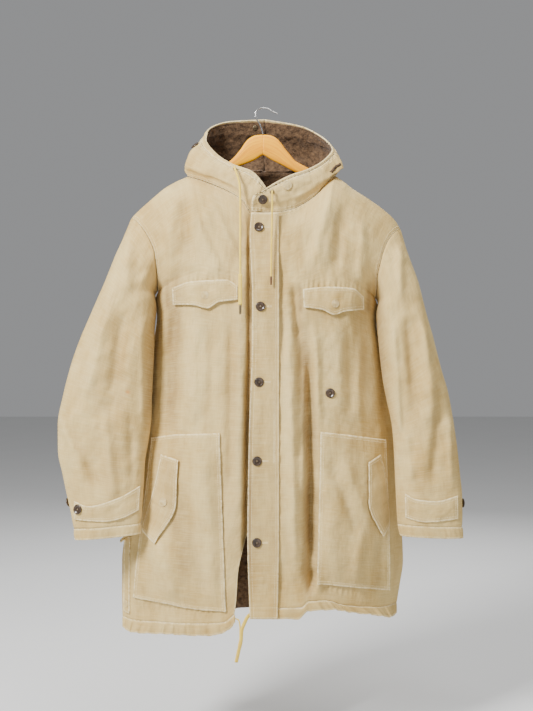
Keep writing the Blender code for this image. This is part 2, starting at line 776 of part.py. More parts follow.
def lathe(name, profile, place, direction, material_name, parent, sides=20):
    """A turned piece whose profile is radius and height, set on a place along a direction."""
    angles = np.linspace(0, 2 * math.pi, sides, endpoint=False)
    points = []
    for radius, height in profile:
        if radius == 0:
            points.append((0, 0, height))
        else:
            points += [(radius * math.cos(a), radius * math.sin(a), height) for a in angles]
    starts = []
    count = 0
    for radius, _ in profile:
        starts.append(count)
        count += 1 if radius == 0 else sides
    faces = []
    for step in range(len(profile) - 1):
        low, high = starts[step], starts[step + 1]
        for side in range(sides):
            after = (side + 1) % sides
            if profile[step][0] == 0:
                faces.append((low, high + after, high + side))
            elif profile[step + 1][0] == 0:
                faces.append((low + side, low + after, high))
            else:
                faces += [
                    (low + side, low + after, high + after),
                    (low + side, high + after, high + side),
                ]
    if profile[0][0] != 0:
        low, high = starts[-1], starts[0]
        for side in range(sides):
            after = (side + 1) % sides
            faces += [
                (low + side, low + after, high + after),
                (low + side, high + after, high + side),
            ]
    made = make_object(name, points, face_out(faces, points), material_name, parent)
    made.rotation_mode = "QUATERNION"
    made.rotation_quaternion = Vector((0, 0, 1)).rotation_difference(Vector(direction))
    made.location = place
    return made


def carried_sides(tangent, first):
    """A direction square to the line at each of its points, turned as little as possible."""
    sides = []
    side = np.array(first, dtype=float)
    for way in tangent:
        side = unit(side - way * (side @ way))
        sides.append(side)
    return np.array(sides)


def capped(name, rings, material_name, parent):
    """A closed solid through rings of points, with a point in the middle of each end."""
    rows, columns = rings.shape[:2]
    points = np.concatenate([rings.reshape(-1, 3), rings[:1].mean(axis=1), rings[-1:].mean(axis=1)])
    faces = []
    for row in range(rows - 1):
        for column in range(columns):
            after = (column + 1) % columns
            a, b = row * columns + column, row * columns + after
            faces += [(a, b, b + columns), (a, b + columns, a + columns)]
    first, last = len(points) - 2, len(points) - 1
    end = (rows - 1) * columns
    for column in range(columns):
        after = (column + 1) % columns
        faces += [(first, after, column), (last, end + column, end + after)]
    return make_object(name, points, face_out(faces, points), material_name, parent)


def round_cord(name, path, width, parent, steps):
    """A round cord along a smooth curve through the points of its path."""
    curve = bpy.data.curves.new(name, "CURVE")
    curve.dimensions = "3D"
    curve.bevel_depth = width / 2
    curve.bevel_resolution = 2
    curve.use_fill_caps = True
    line = along(path, np.linspace(0, 1, steps))
    spline = curve.splines.new("POLY")
    spline.points.add(steps - 1)
    for point, place in zip(spline.points, line):
        point.co = (*place, 1)
    return place_object(name, curve, "cord", parent)


def tube(name, path, width, material_name, parent, sides=6, flat=1.0, steps=12):
    """A wire or a tape along a path. flat is its thickness as a share of its width."""
    line = along(path, np.linspace(0, 1, steps))
    tangent = unit(np.gradient(line, axis=0))
    side = carried_sides(tangent, (1, 0.01, 0))
    front = np.cross(side, tangent)
    turn = np.linspace(0, 2 * math.pi, sides, endpoint=False)
    ring = (
        line[:, None]
        + side[:, None] * (np.cos(turn) * width / 2)[None, :, None]
        + front[:, None] * (np.sin(turn) * width * flat / 2)[None, :, None]
    )
    return capped(name, ring, material_name, parent)


def outer_edge(side, face):
    """The side seam and the armhole of one side, from the hem up, on the front or the back."""
    low = along(SIDE[side], SIDE_STEPS)
    arm = xyz(ARMHOLE_FRONT[side])
    if face == "back":
        arm[1:, 1] = -arm[1:, 1] * 1.1
    return np.concatenate([low, along(arm, ARM_STEPS)])


def meeting(first, second):
    """The direction halfway between two walls' inward directions, long enough to keep their width."""
    middle = unit(first + second)
    share = (middle * second).sum(axis=-1, keepdims=True)
    return middle / np.clip(share, 1 / MOST_MITRE, 1)


def armhole_part(values, face):
    """The front's or the back's share of the values round the armhole, from the underarm up."""
    count = len(ARM_STEPS)
    if face == "front":
        return values[:count]
    return np.concatenate([values[:1], values[count - 1 :][::-1]])


def armhole_seam(side, front, back, sleeve):
    """The inward directions round the armhole, and the directions across it, to the sleeve."""
    count = len(ARM_STEPS)
    column = 0 if side == "left" else -1
    front_in = -grid_normals(front, False, np.array([0, -1.0, 0]))[-count:, -1]
    back_in = -grid_normals(back, False, np.array([0, 1.0, 0]))[-count:, column]
    body = np.concatenate([front_in, back_in[::-1][1:-1]])
    body[0] = unit(front_in[0] + back_in[0])
    body[count - 1] = unit(front_in[-1] + back_in[-1])
    loop = sleeve[0]
    inward = meeting(body, ring_inward(sleeve)[0])
    inward = (np.roll(inward, 1, axis=0) + 2 * inward + np.roll(inward, -1, axis=0)) / 4
    tangent = np.roll(loop, -1, axis=0) - np.roll(loop, 1, axis=0)
    across = unit(np.cross(tangent, inward))
    ahead = (sleeve[1] - loop) * 1.0
    turn = np.sign((across * ahead).sum(axis=1, keepdims=True))
    return inward, across * turn


def neck_seam(panel_row, panel_in, hood):
    """The inward directions along the neck seam and the directions across it, to the hood."""
    hood_in = hood_inward(hood)[0]
    inward = meeting(panel_in, hood_in)
    inward[1:-1] = (inward[:-2] + 2 * inward[1:-1] + inward[2:]) / 4
    across = seam_frame(panel_row, unit(inward))
    turn = np.sign((across * (hood[1] - hood[0])).sum(axis=1, keepdims=True))
    return inward, across * turn


def panel_power(up, underarm):
    """How square the body's sections are: rounder at the hem, squarer by the underarm."""
    near = ease(1 - np.abs(up - up[underarm]) / 0.18)
    return PANEL_POWER + (ARMHOLE_POWER - PANEL_POWER) * near


def front_panel(side):
    """The outer grid of one front, from the hem up and from the centre out."""
    outer = outer_edge(side, "front")
    up = (outer[:, 2] - outer[0, 2]) / (outer[-1, 2] - outer[0, 2])
    centre_line = xyz(CENTRE[side])
    level = (centre_line[:, 2] - centre_line[0, 2]) / (centre_line[-1, 2] - centre_line[0, 2])
    centre = smooth(level, centre_line, up)
    top = np.concatenate([along(NECK[side], NECK_STEPS), along(SHOULDER[side], SHOULDER_STEPS)])
    across = (top[:, 0] - top[0, 0]) / (top[-1, 0] - top[0, 0])
    bottom = along(HEM_SEAM[side], across)
    grid = coons(centre, outer, bottom, top, across, up)
    power = panel_power(up, len(SIDE_STEPS))[:, None]
    profile = outer[:, None, 1] + (centre[:, None, 1] - outer[:, None, 1]) * (
        1 - across[None, :] ** power
    )
    drop = np.clip((top[None, :, 2] - grid[:, :, 2]) / SHOULDER_ROUND, 0, 1)
    bend = np.concatenate([np.linspace(1, 0.8, len(NECK_STEPS)), np.full(len(SHOULDER_STEPS), 0.5)])
    bend[len(NECK_STEPS)] = 0.9
    round_off = (1 - (1 - drop) ** 2) ** (bend * (1 - across**8))[None, :]
    depth = top[None, :, 1] + (profile - top[None, :, 1]) * round_off
    low = ease(up / 0.16)[:, None]
    depth = bottom[None, :, 1] * (1 - low) + depth * low
    mask = ease((1 - across) / 0.14)[None, :] * ease(up / 0.05)[:, None]
    mask = mask * ease((1 - up) / 0.08)[:, None]
    grid[:, :, 1] = depth - mask * fold_rise(FRONT_FOLDS[side], grid[:, :, 0], grid[:, :, 2])
    grid[:, -1] = outer
    grid[-1] = top
    grid[0] = bottom
    grid[0, -1] = outer[0]
    return grid


def back_panel():
    """The outer grid of the back, from the left side to the right."""
    left = outer_edge("left", "back")
    right = outer_edge("right", "back")
    up = (left[:, 2] - left[0, 2]) / (left[-1, 2] - left[0, 2])
    shoulder_left = along(SHOULDER["left"], SHOULDER_STEPS)[::-1]
    shoulder_right = along(SHOULDER["right"], SHOULDER_STEPS)
    neck = along(BACK_NECK, BACK_NECK_STEPS)
    top = np.concatenate([shoulder_left[:-1], neck, shoulder_right[1:]])
    across = (top[:, 0] - top[0, 0]) / (top[-1, 0] - top[0, 0])
    bottom = left[0] + (right[0] - left[0]) * across[:, None]
    bottom[:, 2] += BACK_HEM_RISE * (1 - (2 * across - 1) ** 2)
    grid = coons(left, right, bottom, top, across, up)
    seam = left[:, None, 1] * (1 - across) + right[:, None, 1] * across
    power = panel_power(up, len(SIDE_STEPS))[:, None]
    full = 1 - np.abs(2 * across - 1)[None, :] ** power
    profile = seam + (BACK_DEPTH - seam) * full
    drop = np.clip((top[None, :, 2] - grid[:, :, 2]) / SHOULDER_ROUND, 0, 1)
    edge = np.abs(2 * across - 1) ** 8
    shoulder = len(SHOULDER_STEPS) - 1
    bend = np.full(len(top), 1.0)
    bend[:shoulder] = 0.5
    bend[-shoulder:] = 0.5
    bend[[shoulder, -shoulder - 1]] = 0.65
    bend[[shoulder + 1, -shoulder - 2]] = 0.85
    round_off = (1 - (1 - drop) ** 2) ** (bend * (1 - edge))[None, :]
    depth = top[None, :, 1] + (profile - top[None, :, 1]) * round_off
    mask = ease((1 - np.abs(2 * across - 1)) / 0.14)[None, :] * ease(up / 0.05)[:, None]
    mask = mask * ease((1 - up) / 0.10)[:, None]
    grid[:, :, 1] = depth + mask * fold_rise(BACK_FOLDS, grid[:, :, 0], grid[:, :, 2])
    grid[:, 0] = left
    grid[:, -1] = right
    grid[-1] = top
    return grid


def directions(grid, outward, edges):
    """The way in at every point: against the normal, but as the edges say along the seams."""
    inward = -grid_normals(grid, False, np.array(outward, dtype=float))
    reach = np.ones(grid.shape[:2])
    given = np.zeros_like(grid)
    times = np.zeros(grid.shape[:2])
    for where, toward in edges:
        given[where] = toward
        times[where] += 1
    on_edge = times > 0
    inward[on_edge] = unit(given[on_edge])
    reach[on_edge] = MITRE
    return inward * reach[:, :, None]


def trim(grid, inward, edges):
    """The grid with each seam drawn back from the seam's line by half of SEAM."""
    moved = grid.copy()
    for where, neighbour in edges:
        line = grid[where]
        across = seam_frame(line, unit(inward[where]))
        ahead = grid[neighbour] - line
        turn = np.sign((across * ahead).sum(axis=-1, keepdims=True))
        moved[where] += across * turn * SEAM / 2
    return moved


def hem_band(grid_row, edge, gathers):
    """The hem's tunnel below a panel's last row, with gathers along its lower part."""
    count = len(grid_row)
    share = np.linspace(0, 1, 4)
    rows = [grid_row]
    places = np.linspace(0, 1, count)
    wave = np.cos(places * math.pi * gathers) * ease(np.minimum(places, 1 - places) / GATHER_FADE)
    for part in share[1:]:
        row = grid_row + (edge - grid_row) * part
        row[:, 1] += HEM_GATHER_DEPTH * wave * math.sin(part * math.pi * 0.8)
        rows.append(row)
    return np.array(rows)


def hood_half(side, neck, levels):
    """The outer grid of one half of the hood on its points of the neck seam, front to back."""
    spokes = np.array(HOOD[side])
    length = np.concatenate([[0], np.cumsum(np.linalg.norm(np.diff(neck, axis=0), axis=1))])
    places = length / length[-1]
    parts = smooth(spokes[:, 0], spokes[:, 1:], places)
    away = unit((neck - xyz([NECK_AXIS])) * (1, 1, 0))
    start = neck + away * parts[:, :1] + np.array([0, 0, 1.0]) * parts[:, 1:2]
    stack = np.stack([neck, start, parts[:, 2:5], parts[:, 5:8], parts[:, 8:11]])
    columns = [smooth((0, 0.1, 0.36, 0.7, 1), stack[:, k], levels) for k in range(len(neck))]
    return np.array(columns).transpose(1, 0, 2)


def ring_at(section, shares):
    """A sleeve's ring: the front from the inner edge to the outer, then the back to the inner."""
    inner = np.array([section.inner_x, section.y, section.inner_z])
    outer = np.array([section.outer_x, section.y, section.outer_z])
    over = (1 - np.cos(np.pi * shares)) / 2
    bulge = np.sin(np.pi * shares) ** 0.85
    front = inner + (outer - inner) * over[:, None]
    back = front.copy()
    front[:, 1] -= section.depth * bulge
    back[:, 1] += section.depth * bulge
    return np.concatenate([front, back[::-1][1:-1]])


def sleeve_grid(side):
    """The outer grid of a sleeve, whose first ring is the armhole's loop."""
    arm = len(ARM_STEPS)
    front = outer_edge(side, "front")[-arm:]
    back = outer_edge(side, "back")[-arm:]
    loop = np.concatenate([front, back[::-1][1:-1]])
    even = np.linspace(0, 1, arm)
    regular = ring_at(SLEEVE[side][0], even)
    rest = loop - regular
    rings = [loop]
    for number, section in enumerate(SLEEVE[side][1:], start=1):
        ring = ring_at(section, even)
        ring = ring + rest * (1 - ease(number / 5))
        facing = ease((section.y - ring[:, 1]) / 0.02)
        ring[:, 1] -= facing * fold_rise(SLEEVE_FOLDS[side], ring[:, 0], ring[:, 2])
        rings.append(ring)
    return np.array(rings)


def ring_inward(grid):
    """The inward directions of a sleeve's grid, toward the middle of each ring."""
    middle = grid.mean(axis=1, keepdims=True)
    return -grid_normals(grid, True, grid - middle)


def patch_grid(patch):
    """The flat grid of a flap or a pocket from its sewn edge to its free edge, and its rise."""
    across = np.linspace(0, 1, patch.columns)
    down = np.linspace(0, 1, patch.rows)
    top = along([(x, 0, z) for x, z in patch.top], across)
    bottom = along([(x, 0, z) for x, z in patch.bottom], across)
    grid = top[None] + (bottom - top)[None] * down[:, None, None]
    full = np.sin(np.pi * across)[None, :] ** 0.6 * np.sin(np.pi * down)[:, None] ** 0.6
    rise = LIFT + patch.belly * full + patch.lip * ease(down)[:, None]
    return grid[:, :, (0, 2)], rise


def lay_patch(patch, surface, parent):
    """A flap, a pocket or a tab on a surface. Its outer grid comes back, for what lies on it."""
    flat, rise = patch_grid(patch)
    under = lie_on(surface, flat, rise)
    inward = directions(under, (0, -1, 0), [])
    over = under - inward * CLOTH
    wall(patch.name, over, under, "cloth", parent)
    return over


def button_profile(width, height):
    radius = width / 2
    return (
        (0, 0),
        (radius * 0.9, 0),
        (radius, height * 0.45),
        (radius * 0.88, height),
        (0, height * 0.7),
    )


def set_button(button, surface, material_name, parent, gap=0.0006):
    place, normal = front_of(surface, button.x, button.z)
    profile = button_profile(button.width, button.height)
    return lathe(button.name, profile, place + normal * gap, normal, material_name, parent, 14)


def neck_rows(fronts, back):
    """For each half, the points of the neck seam from the front round to the back's middle."""
    first = len(SHOULDER_STEPS) - 1
    middle = first + len(BACK_NECK_STEPS) // 2
    last = first + len(BACK_NECK_STEPS) - 1
    count = len(NECK_STEPS) + 1
    front_in = {}
    rows = {}
    back_in = -grid_normals(back, False, np.array([0, 1.0, 0]))[-1]
    for side, part in (("left", slice(first, middle + 1)), ("right", slice(last, middle - 1, -1))):
        own = -grid_normals(fronts[side], False, np.array([0, -1.0, 0]))[-1, :count]
        behind = back_in[part]
        own[-1] = unit(own[-1] + behind[0])
        rows[side] = np.concatenate([fronts[side][-1, :count], back[-1, part][1:]])
        front_in[side] = np.concatenate([own, behind[1:]])
    return rows, front_in


def hood_inward(grid):
    """The inward directions of a half of the hood."""
    return -grid_normals(grid, False, grid - xyz([HOOD_MIDDLE]))


def build_front(side, grid, neck_in, neck_across, arm_in, arm_across, parent):
    """One front panel. Its outer grid comes back, for what lies on it, with its inward directions."""
    whole = slice(None)
    neck = len(NECK_STEPS)
    lean = 1.0 if side == "left" else -1.0
    edges = [
        ((0, whole), np.array([0, MITRE, 0])),
        ((-1, slice(neck, None)), np.array([0, 0, -MITRE])),
        ((-1, slice(0, neck + 1)), neck_in[: neck + 1]),
        ((whole, -1), np.array([lean * MITRE, 0, 0])),
        ((slice(-len(ARM_STEPS), None), -1), armhole_part(arm_in, "front")),
    ]
    inward = directions(grid, (0, -1, 0), edges)
    outer = trim(grid, inward, [((0, whole), (1, whole))])
    outer[-1, neck:, 1] -= SEAM / 2
    outer[-1, : neck + 1] -= neck_across[: neck + 1] * SEAM / 2
    outer[: len(SIDE_STEPS) + 1, -1, 1] -= SEAM / 2
    outer[-len(ARM_STEPS) :, -1] -= armhole_part(arm_across, "front") * SEAM / 2
    wall("front_" + side, outer, outer + inward * CLOTH, "cloth", parent)
    return outer, inward


def build_hem(name, row, edge, inward_row, facing, gathers, parent):
    """The hem's tunnel, from a panel's last row down to the hem's edge."""
    band = hem_band(row, edge, gathers)
    inward = directions(band, (0, facing, 0), [])
    inward[:, 0] = inward_row[0]
    inward[:, -1] = inward_row[-1]
    inward[0] = inward_row
    band[0, :, 2] -= SEAM
    wall(name, band, band + inward * CLOTH, "cloth", parent)
    return band


def build_back(back, seams, neck_in, neck_across, parka):
    """The back with its hem and, inside it, its wool lining."""
    whole = slice(None)
    first = len(SHOULDER_STEPS) - 1
    middle = first + len(BACK_NECK_STEPS) // 2
    last = first + len(BACK_NECK_STEPS) - 1
    skip = len(NECK_STEPS)
    count = len(ARM_STEPS)
    left_neck = (-1, slice(first, middle + 1))
    right_neck = (-1, slice(last, middle - 1, -1))
    edges = [
        ((0, whole), np.array([0, -MITRE, 0])),
        ((-1, whole), np.array([0, 0, -MITRE])),
        (left_neck, neck_in["left"][skip:]),
        (right_neck, neck_in["right"][skip:]),
        ((whole, 0), np.array([MITRE, 0, 0])),
        ((whole, -1), np.array([-MITRE, 0, 0])),
        ((slice(-count, None), 0), armhole_part(seams["left"][0], "back")),
        ((slice(-count, None), -1), armhole_part(seams["right"][0], "back")),
    ]
    inward = directions(back, (0, 1, 0), edges)
    inward[-1, middle] = (neck_in["left"][-1] + neck_in["right"][-1]) / 2
    outer = trim(back, inward, [((0, whole), (1, whole))])
    outer[-1, : first + 1, 1] += SEAM / 2
    outer[-1, last:, 1] += SEAM / 2
    outer[-1, middle] += neck_across["right"][-1] * SEAM / 2
    outer[left_neck] -= neck_across["left"][skip:] * SEAM / 2
    outer[right_neck] -= neck_across["right"][skip:] * SEAM / 2
    for column, side in ((0, "left"), (-1, "right")):
        outer[: len(SIDE_STEPS) + 1, column, 1] += SEAM / 2
        outer[-count:, column] -= armhole_part(seams[side][1], "back") * SEAM / 2
    wall("back", outer, outer + inward * CLOTH, "cloth", parka)
    row = back[0].copy()
    row[(0, -1), 1] += SEAM / 2
    edge = row - np.array([0, 0, BACK_HEM_HEIGHT])
    build_hem("hem_back", row, edge, inward[0], 1.0, 2 * HEM_GATHERS, parka)
    columns = slice(first + 1, last)
    near = outer + inward * (CLOTH + LIFT)
    far = near + inward * PILE
    wall("lining_back", near[1:, columns], far[1:, columns], "pile", parka)


def build_sleeve(side, grid, seam_in, seam_across, parka):
    """A sleeve from its armhole down, and its cuff below. The sleeve's outer grid comes back."""
    inward = ring_inward(grid)
    inward[0] = seam_in
    outer = grid.copy()
    outer[0] += seam_across * SEAM / 2
    wall("sleeve_" + side, outer, outer + inward * CLOTH, "cloth", parka, ring=True)
    even = np.linspace(0, 1, len(ARM_STEPS))
    end = ring_at(CUFF_END[side], even)
    cuff = np.array([grid[-1], (grid[-1] + end) / 2, end])
    cuff_in = ring_inward(cuff)
    cuff_in[0] = inward[-1]
    cuff[0] += unit(cuff[1] - cuff[0]) * SEAM
    wall("cuff_" + side, cuff, cuff + cuff_in * CLOTH * 1.3, "cloth", parka, ring=True)
    return outer


def build_hood(side, grid, neck_in, neck_across, parka):
    """One half of the hood with its edge tunnel and lining. The grids that carry snaps come back."""
    inward = hood_inward(grid)
    rise = unit(np.gradient(grid[:, -1], axis=0))
    centre = unit(np.cross(rise, np.array([1.0, 0, 0])))
    turn = np.sign((centre * inward[:, -1]).sum(axis=1, keepdims=True))
    inward[:, -1] = centre * turn
    inward[0] = neck_in
    outer = grid.copy()
    outer[0] += neck_across * SEAM / 2
    outer[:, -1, 0] += (-1.0 if side == "left" else 1.0) * SEAM / 2
    split = len(HOOD_LEVELS)
    shell_in = inward[:split]
    wall("hood_" + side, outer[:split], outer[:split] + shell_in * CLOTH, "cloth", parka)
    rim = outer[split - 1 :].copy()
    rim[0] += unit(rim[1] - rim[0]) * SEAM * 1.5
    rim_inner = rim + inward[split - 1 :] * CLOTH * 1.4
    wall("hood_rim_" + side, rim, rim_inner, "cloth", parka)
    near = (outer[:split] + shell_in * (CLOTH + LIFT))[LINING_ROW:, LINING_COLUMN:]
    far = near + shell_in[LINING_ROW:, LINING_COLUMN:] * PILE
    wall("hood_lining_" + side, near, far, "pile", parka)
    return outer, rim_inner, far


def lay_placket(surface, parka):
    """The strip over the middle, laid in front of whatever stands out most behind each row."""
    down = np.linspace(0, 1, PLACKET_ROWS)
    left = along(PLACKET_LEFT, down)
    right = along(PLACKET_RIGHT, down)
    right[:, 2] = left[:, 2]
    across = np.linspace(0, 1, 4)
    grid = left[:, None] + (right - left)[:, None] * across[None, :, None]
    depth = []
    for start, end in zip(left, right):
        spots = (start[0] + 0.001, start[0] + 0.008, start[0] + 0.015, 0.001, 0.012, end[0])
        levels = (start[2] - 0.004, start[2] + 0.004)
        depth.append(min(front_of(surface, x, z)[0].y for x in spots for z in levels))
    depth = np.array(depth)
    near = np.minimum(np.append(depth[1:], depth[-1]), np.append(depth[0], depth[:-1]))
    grid[:, :, 1] = (np.minimum(depth, (depth + near) / 2) - LIFT)[:, None]
    over = grid - np.array([0, CLOTH, 0])
    wall("placket", over, grid, "cloth", parka)
    return over


def wood_section(stick):
    """A rounded section of the hanger's yoke, square to X."""
    turn = np.linspace(0, 2 * math.pi, 12, endpoint=False)
    middle = (stick.top + stick.bottom) / 2
    half = (stick.top - stick.bottom) / 2
    y = np.sign(np.cos(turn)) * np.abs(np.cos(turn)) ** 0.7 * WOOD_DEPTH / 2
    z = middle + np.sign(np.sin(turn)) * np.abs(np.sin(turn)) ** 0.8 * half
    return np.stack([np.full_like(y, stick.x), y, z], axis=1)


def build_hanger(hanger):
    """The wooden yoke through its sections, and the wire hook."""
    capped("hanger_wood", np.array([wood_section(stick) for stick in WOOD]), "wood", hanger)
    tube("hanger_hook", HOOK_WIRE, WIRE_WIDTH, "steel", hanger, sides=8, steps=26)


def snap_profile(width, height):
    radius = width / 2
    return (
        (0, 0),
        (radius, 0),
        (radius, height * 0.6),
        (radius * 0.8, height),
        (radius * 0.55, height * 0.55),
        (0, height * 0.65),
    )


def set_round(name, surface, guess, profile, material_name, parent, gap=0.0006):
    """A turned piece on the surface's nearest place to the guess, square to the surface."""
    place, normal, _, _ = surface.find_nearest(Vector(guess))
    if normal.dot(Vector(guess) - place) < 0:
        normal = -normal
    return lathe(name, profile, place + normal * gap, normal, material_name, parent, 14)


def hang_cord(name, surface, start, path, width, parent):
    """A cord that comes out of an eyelet, square to the cloth, and then follows its path."""
    place, normal = front_of(surface, start.x, start.z)
    inner = width / 2 + SEAT
    ring = ((inner, 0), (inner + 0.0018, 0), (inner + 0.0018, 0.0008), (inner, 0.0012))
    lathe(name + "_eyelet", ring, place + normal * SEAT, normal, "brass", parent, 12)
    out = [place + normal * distance for distance in (0.0016, 0.0035, 0.0055, 0.0075)]
    route = [tuple(point) for point in out] + [tuple(point) for point in path]
    return round_cord(name, route, width, parent, HOOD_CORD_STEPS)


def build():
    """The whole object: the parka's pieces and the hanger's."""
    clear_scene()
    parka = bpy.data.objects.new("parka", None)
    bpy.context.scene.collection.objects.link(parka)
    hanger = bpy.data.objects.new("hanger", None)
    bpy.context.scene.collection.objects.link(hanger)

    # The grids first, because each seam's directions come from both of its pieces
    fronts = {side: front_panel(side) for side in ("left", "right")}
    back = back_panel()
    sleeves = {side: sleeve_grid(side) for side in ("left", "right")}
    rows, panel_in = neck_rows(fronts, back)
    hoods = {}
    neck_in = {}
    neck_across = {}
    seams = {}
    for side in ("left", "right"):
        seams[side] = armhole_seam(side, fronts[side], back, sleeves[side])
        ends = xyz(COLLAR_END[side])
        ring = np.concatenate([ends, rows[side]])
        hoods[side] = hood_half(side, ring, HOOD_LEVELS + RIM_LEVELS[1:])
        own = np.concatenate([hood_inward(hoods[side])[0][: len(ends)], panel_in[side]])
        neck_in[side], neck_across[side] = neck_seam(ring, own, hoods[side])
    ends = len(COLLAR_END["left"])
    middle_in = (neck_in["left"][-1] + neck_in["right"][-1]) * np.array([0, 0.5, 0.5])
    for side in ("left", "right"):
        neck_in[side][-1] = middle_in
    body_in = {side: neck_in[side][ends:] for side in ("left", "right")}
    body_across = {side: neck_across[side][ends:] for side in ("left", "right")}

    outers = {}
    bands = {}
    for side in ("left", "right"):
        arm_in, arm_across = seams[side]
        outers[side], inward = build_front(
            side, fronts[side], body_in[side], body_across[side], arm_in, arm_across, parka
        )
        edge = along(HEM_EDGE[side], hem_shares(fronts[side]))
        row = fronts[side][0].copy()
        row[-1, 1] -= SEAM / 2
        edge[-1, 1] -= SEAM / 2
        bands[side] = build_hem("hem_" + side, row, edge, inward[0], -1.0, HEM_GATHERS, parka)
    build_back(back, seams, body_in, body_across, parka)
    arms = {}
    inside = []
    for side in ("left", "right"):
        arms[side] = build_sleeve(side, sleeves[side], seams[side][0], seams[side][1], parka)
        hood, rim_inner, far = build_hood(
            side, hoods[side], neck_in[side], neck_across[side], parka
        )
        hoods[side] = hood
        inside += [rim_inner, far]

    placket = lay_placket(skin(outers["left"], outers["right"], bands["right"]), parka)
    laid = {side: [outers[side]] for side in ("left", "right")}
    for patch in PATCHES:
        over = lay_patch(patch, skin(*laid[patch.side]), parka)
        laid[patch.side].append(over)
    tabs = {}
    for patch in TABS:
        arm = skin(arms[patch.side][:, : len(ARM_STEPS)])
        tabs[patch.side] = skin(lay_patch(patch, arm, parka))

    build_hanger(hanger)
    build_fastenings(parka, placket, laid, tabs, arms, hoods, inside)
    build_cords(parka, hoods)


def build_fastenings(parka, placket, laid, tabs, arms, hoods, inside):
    """The buttons, the press studs and the eyelets, each on the piece that carries it."""
    placket_skin = skin(placket)
    for button in PLACKET_BUTTONS:
        set_button(button, placket_skin, "button", parka)
    set_button(STORM_BUTTON, skin(*laid["right"]), "button", parka)
    set_button(COLLAR_BUTTON, skin(hoods["right"]), "button", parka)
    set_button(CUFF_BUTTON, tabs["left"], "button", parka)
    small = button_profile(BUTTON_WIDTH, BUTTON_HEIGHT)
    edge_left = skin(np.concatenate([arms["left"], arms["left"][:, :1]], axis=1))
    edge_right = skin(np.concatenate([arms["right"], arms["right"][:, :1]], axis=1))
    left_half = skin(hoods["left"])
    set_round("button_cuff_left_back", edge_left, (-0.436, -0.034, -0.863), small, "button", parka)
    set_round("button_cuff_right", edge_right, (0.436, -0.040, -0.861), small, "button", parka)
    set_round("button_hood_left", left_half, (-0.170, 0.012, -0.060), small, "button", parka)
    snap = snap_profile(BUTTON_WIDTH, 0.0028)
    right_half = skin(hoods["right"])
    set_round("snap_collar", right_half, (0.0525, -0.110, -0.182), snap, "brass", parka)
    inner_snap = snap_profile(0.0115, 0.0025)
    set_round("snap_hood", skin(*inside), (-0.020, 0.060, -0.030), inner_snap, "brass", parka)
    for stud in FLAP_SNAPS:
        place, normal = front_of(skin(*laid[stud.side]), stud.x, stud.z)
        profile = snap_profile(stud.width, 0.0022)
        lathe(stud.name, profile, place + normal * SEAT, normal, "cloth", parka, 14)


def build_cords(parka, hoods):
    """The hood's two cords with their ends, and the two ends of the hem's cord."""
    left = skin(hoods["left"])
    right = skin(hoods["right"])
    hang_cord("hood_cord_left", left, EYELETS[0], HOOD_CORD_LEFT, HOOD_CORD, parka)
    end = HOOD_CORD_LEFT[-1]
    fold = (Point(end.x, end.y, end.z - 0.0004), Point(end.x, end.y - 0.001, end.z - 0.064))
    tube("hood_cord_left_fold", fold, 0.0072, "cord", parka, sides=8, steps=5)
    tip = fold[-1]
    aglet = (Point(tip.x, tip.y, tip.z - 0.0004), Point(tip.x, tip.y, tip.z - 0.020))
    tube("hood_cord_left_aglet", aglet, 0.0056, "aglet", parka, sides=8, steps=3)
    hang_cord("hood_cord_right", right, EYELETS[1], HOOD_CORD_RIGHT, THIN_CORD, parka)
    tip = HOOD_CORD_RIGHT[-1]
    aglet = (Point(tip.x, tip.y, tip.z - 0.0004), Point(tip.x, tip.y, tip.z - 0.018))
    tube("hood_cord_right_aglet", aglet, 0.0046, "aglet", parka, sides=8, steps=3)
    tube("hem_cord_right", HEM_CORD_RIGHT, HEM_CORD, "cord", parka, flat=0.35, steps=14)
    round_cord("hem_cord_left", HEM_CORD_LEFT, HEM_STRAND, parka, 11)


def hem_shares(grid):
    """Each point of the panel's lowest row as a share of its width."""
    x = grid[0, :, 0]
    return (x - x[0]) / (x[-1] - x[0])


build()
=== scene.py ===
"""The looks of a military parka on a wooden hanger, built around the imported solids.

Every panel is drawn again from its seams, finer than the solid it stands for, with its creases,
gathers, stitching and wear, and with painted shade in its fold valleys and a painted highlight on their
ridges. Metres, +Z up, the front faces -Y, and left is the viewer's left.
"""

import math
from collections import namedtuple

import bpy
import numpy as np
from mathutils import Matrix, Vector
from mathutils.bvhtree import BVHTree


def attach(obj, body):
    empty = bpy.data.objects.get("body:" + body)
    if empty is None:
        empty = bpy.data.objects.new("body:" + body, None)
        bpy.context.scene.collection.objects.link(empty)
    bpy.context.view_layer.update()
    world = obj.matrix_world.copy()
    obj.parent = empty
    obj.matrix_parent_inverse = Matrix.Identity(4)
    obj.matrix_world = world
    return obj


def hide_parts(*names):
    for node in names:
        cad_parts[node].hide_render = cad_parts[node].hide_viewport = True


# Sizes of the cloth and the fastenings
CLOTH = 0.0018
PILE = 0.0030
LIFT = 0.0006
SHOULDER_ROUND = 0.060
PANEL_POWER = 2.8
ARMHOLE_POWER = 5.0
TOP_REACH = 4
BUTTON_WIDTH = 0.0206
BUTTON_HEIGHT = 0.0032
WIRE_WIDTH = 0.0030
WOOD_DEPTH = 0.0140
HOOD_CORD = 0.0045
THIN_CORD = 0.0037
HEM_CORD = 0.0080
HEM_CORD_THICK = 0.35 * HEM_CORD
HEM_STRAND = 0.0028
SEAT = 0.0006
STUD_SEAT = 0.0002
CAP_SEAT = 0.0004
HOLE_RING = 0.0022
HOLE_RING_HEIGHT = 0.0014
FOLD_LENGTH = 0.0645
FOLD_WIDTH = 0.0072
FOLD_DEPTH = 0.0046
YOKE_MIDDLE = -0.005
YOKE_JOINT = 0.0006
FINE = 8
SIDE_TIMES = 18
CREASE_TIMES = 2.2
FOLD_FULL = 0.006
UNDER_ARM_FULL = 0.0092
UNDER_ARM_REACH = 0.028
# How much paler the fold ridges are painted, a painted highlight, and how much browner the fold valleys are
# painted, painted shade
RIDGE_HIGHLIGHT = 0.60
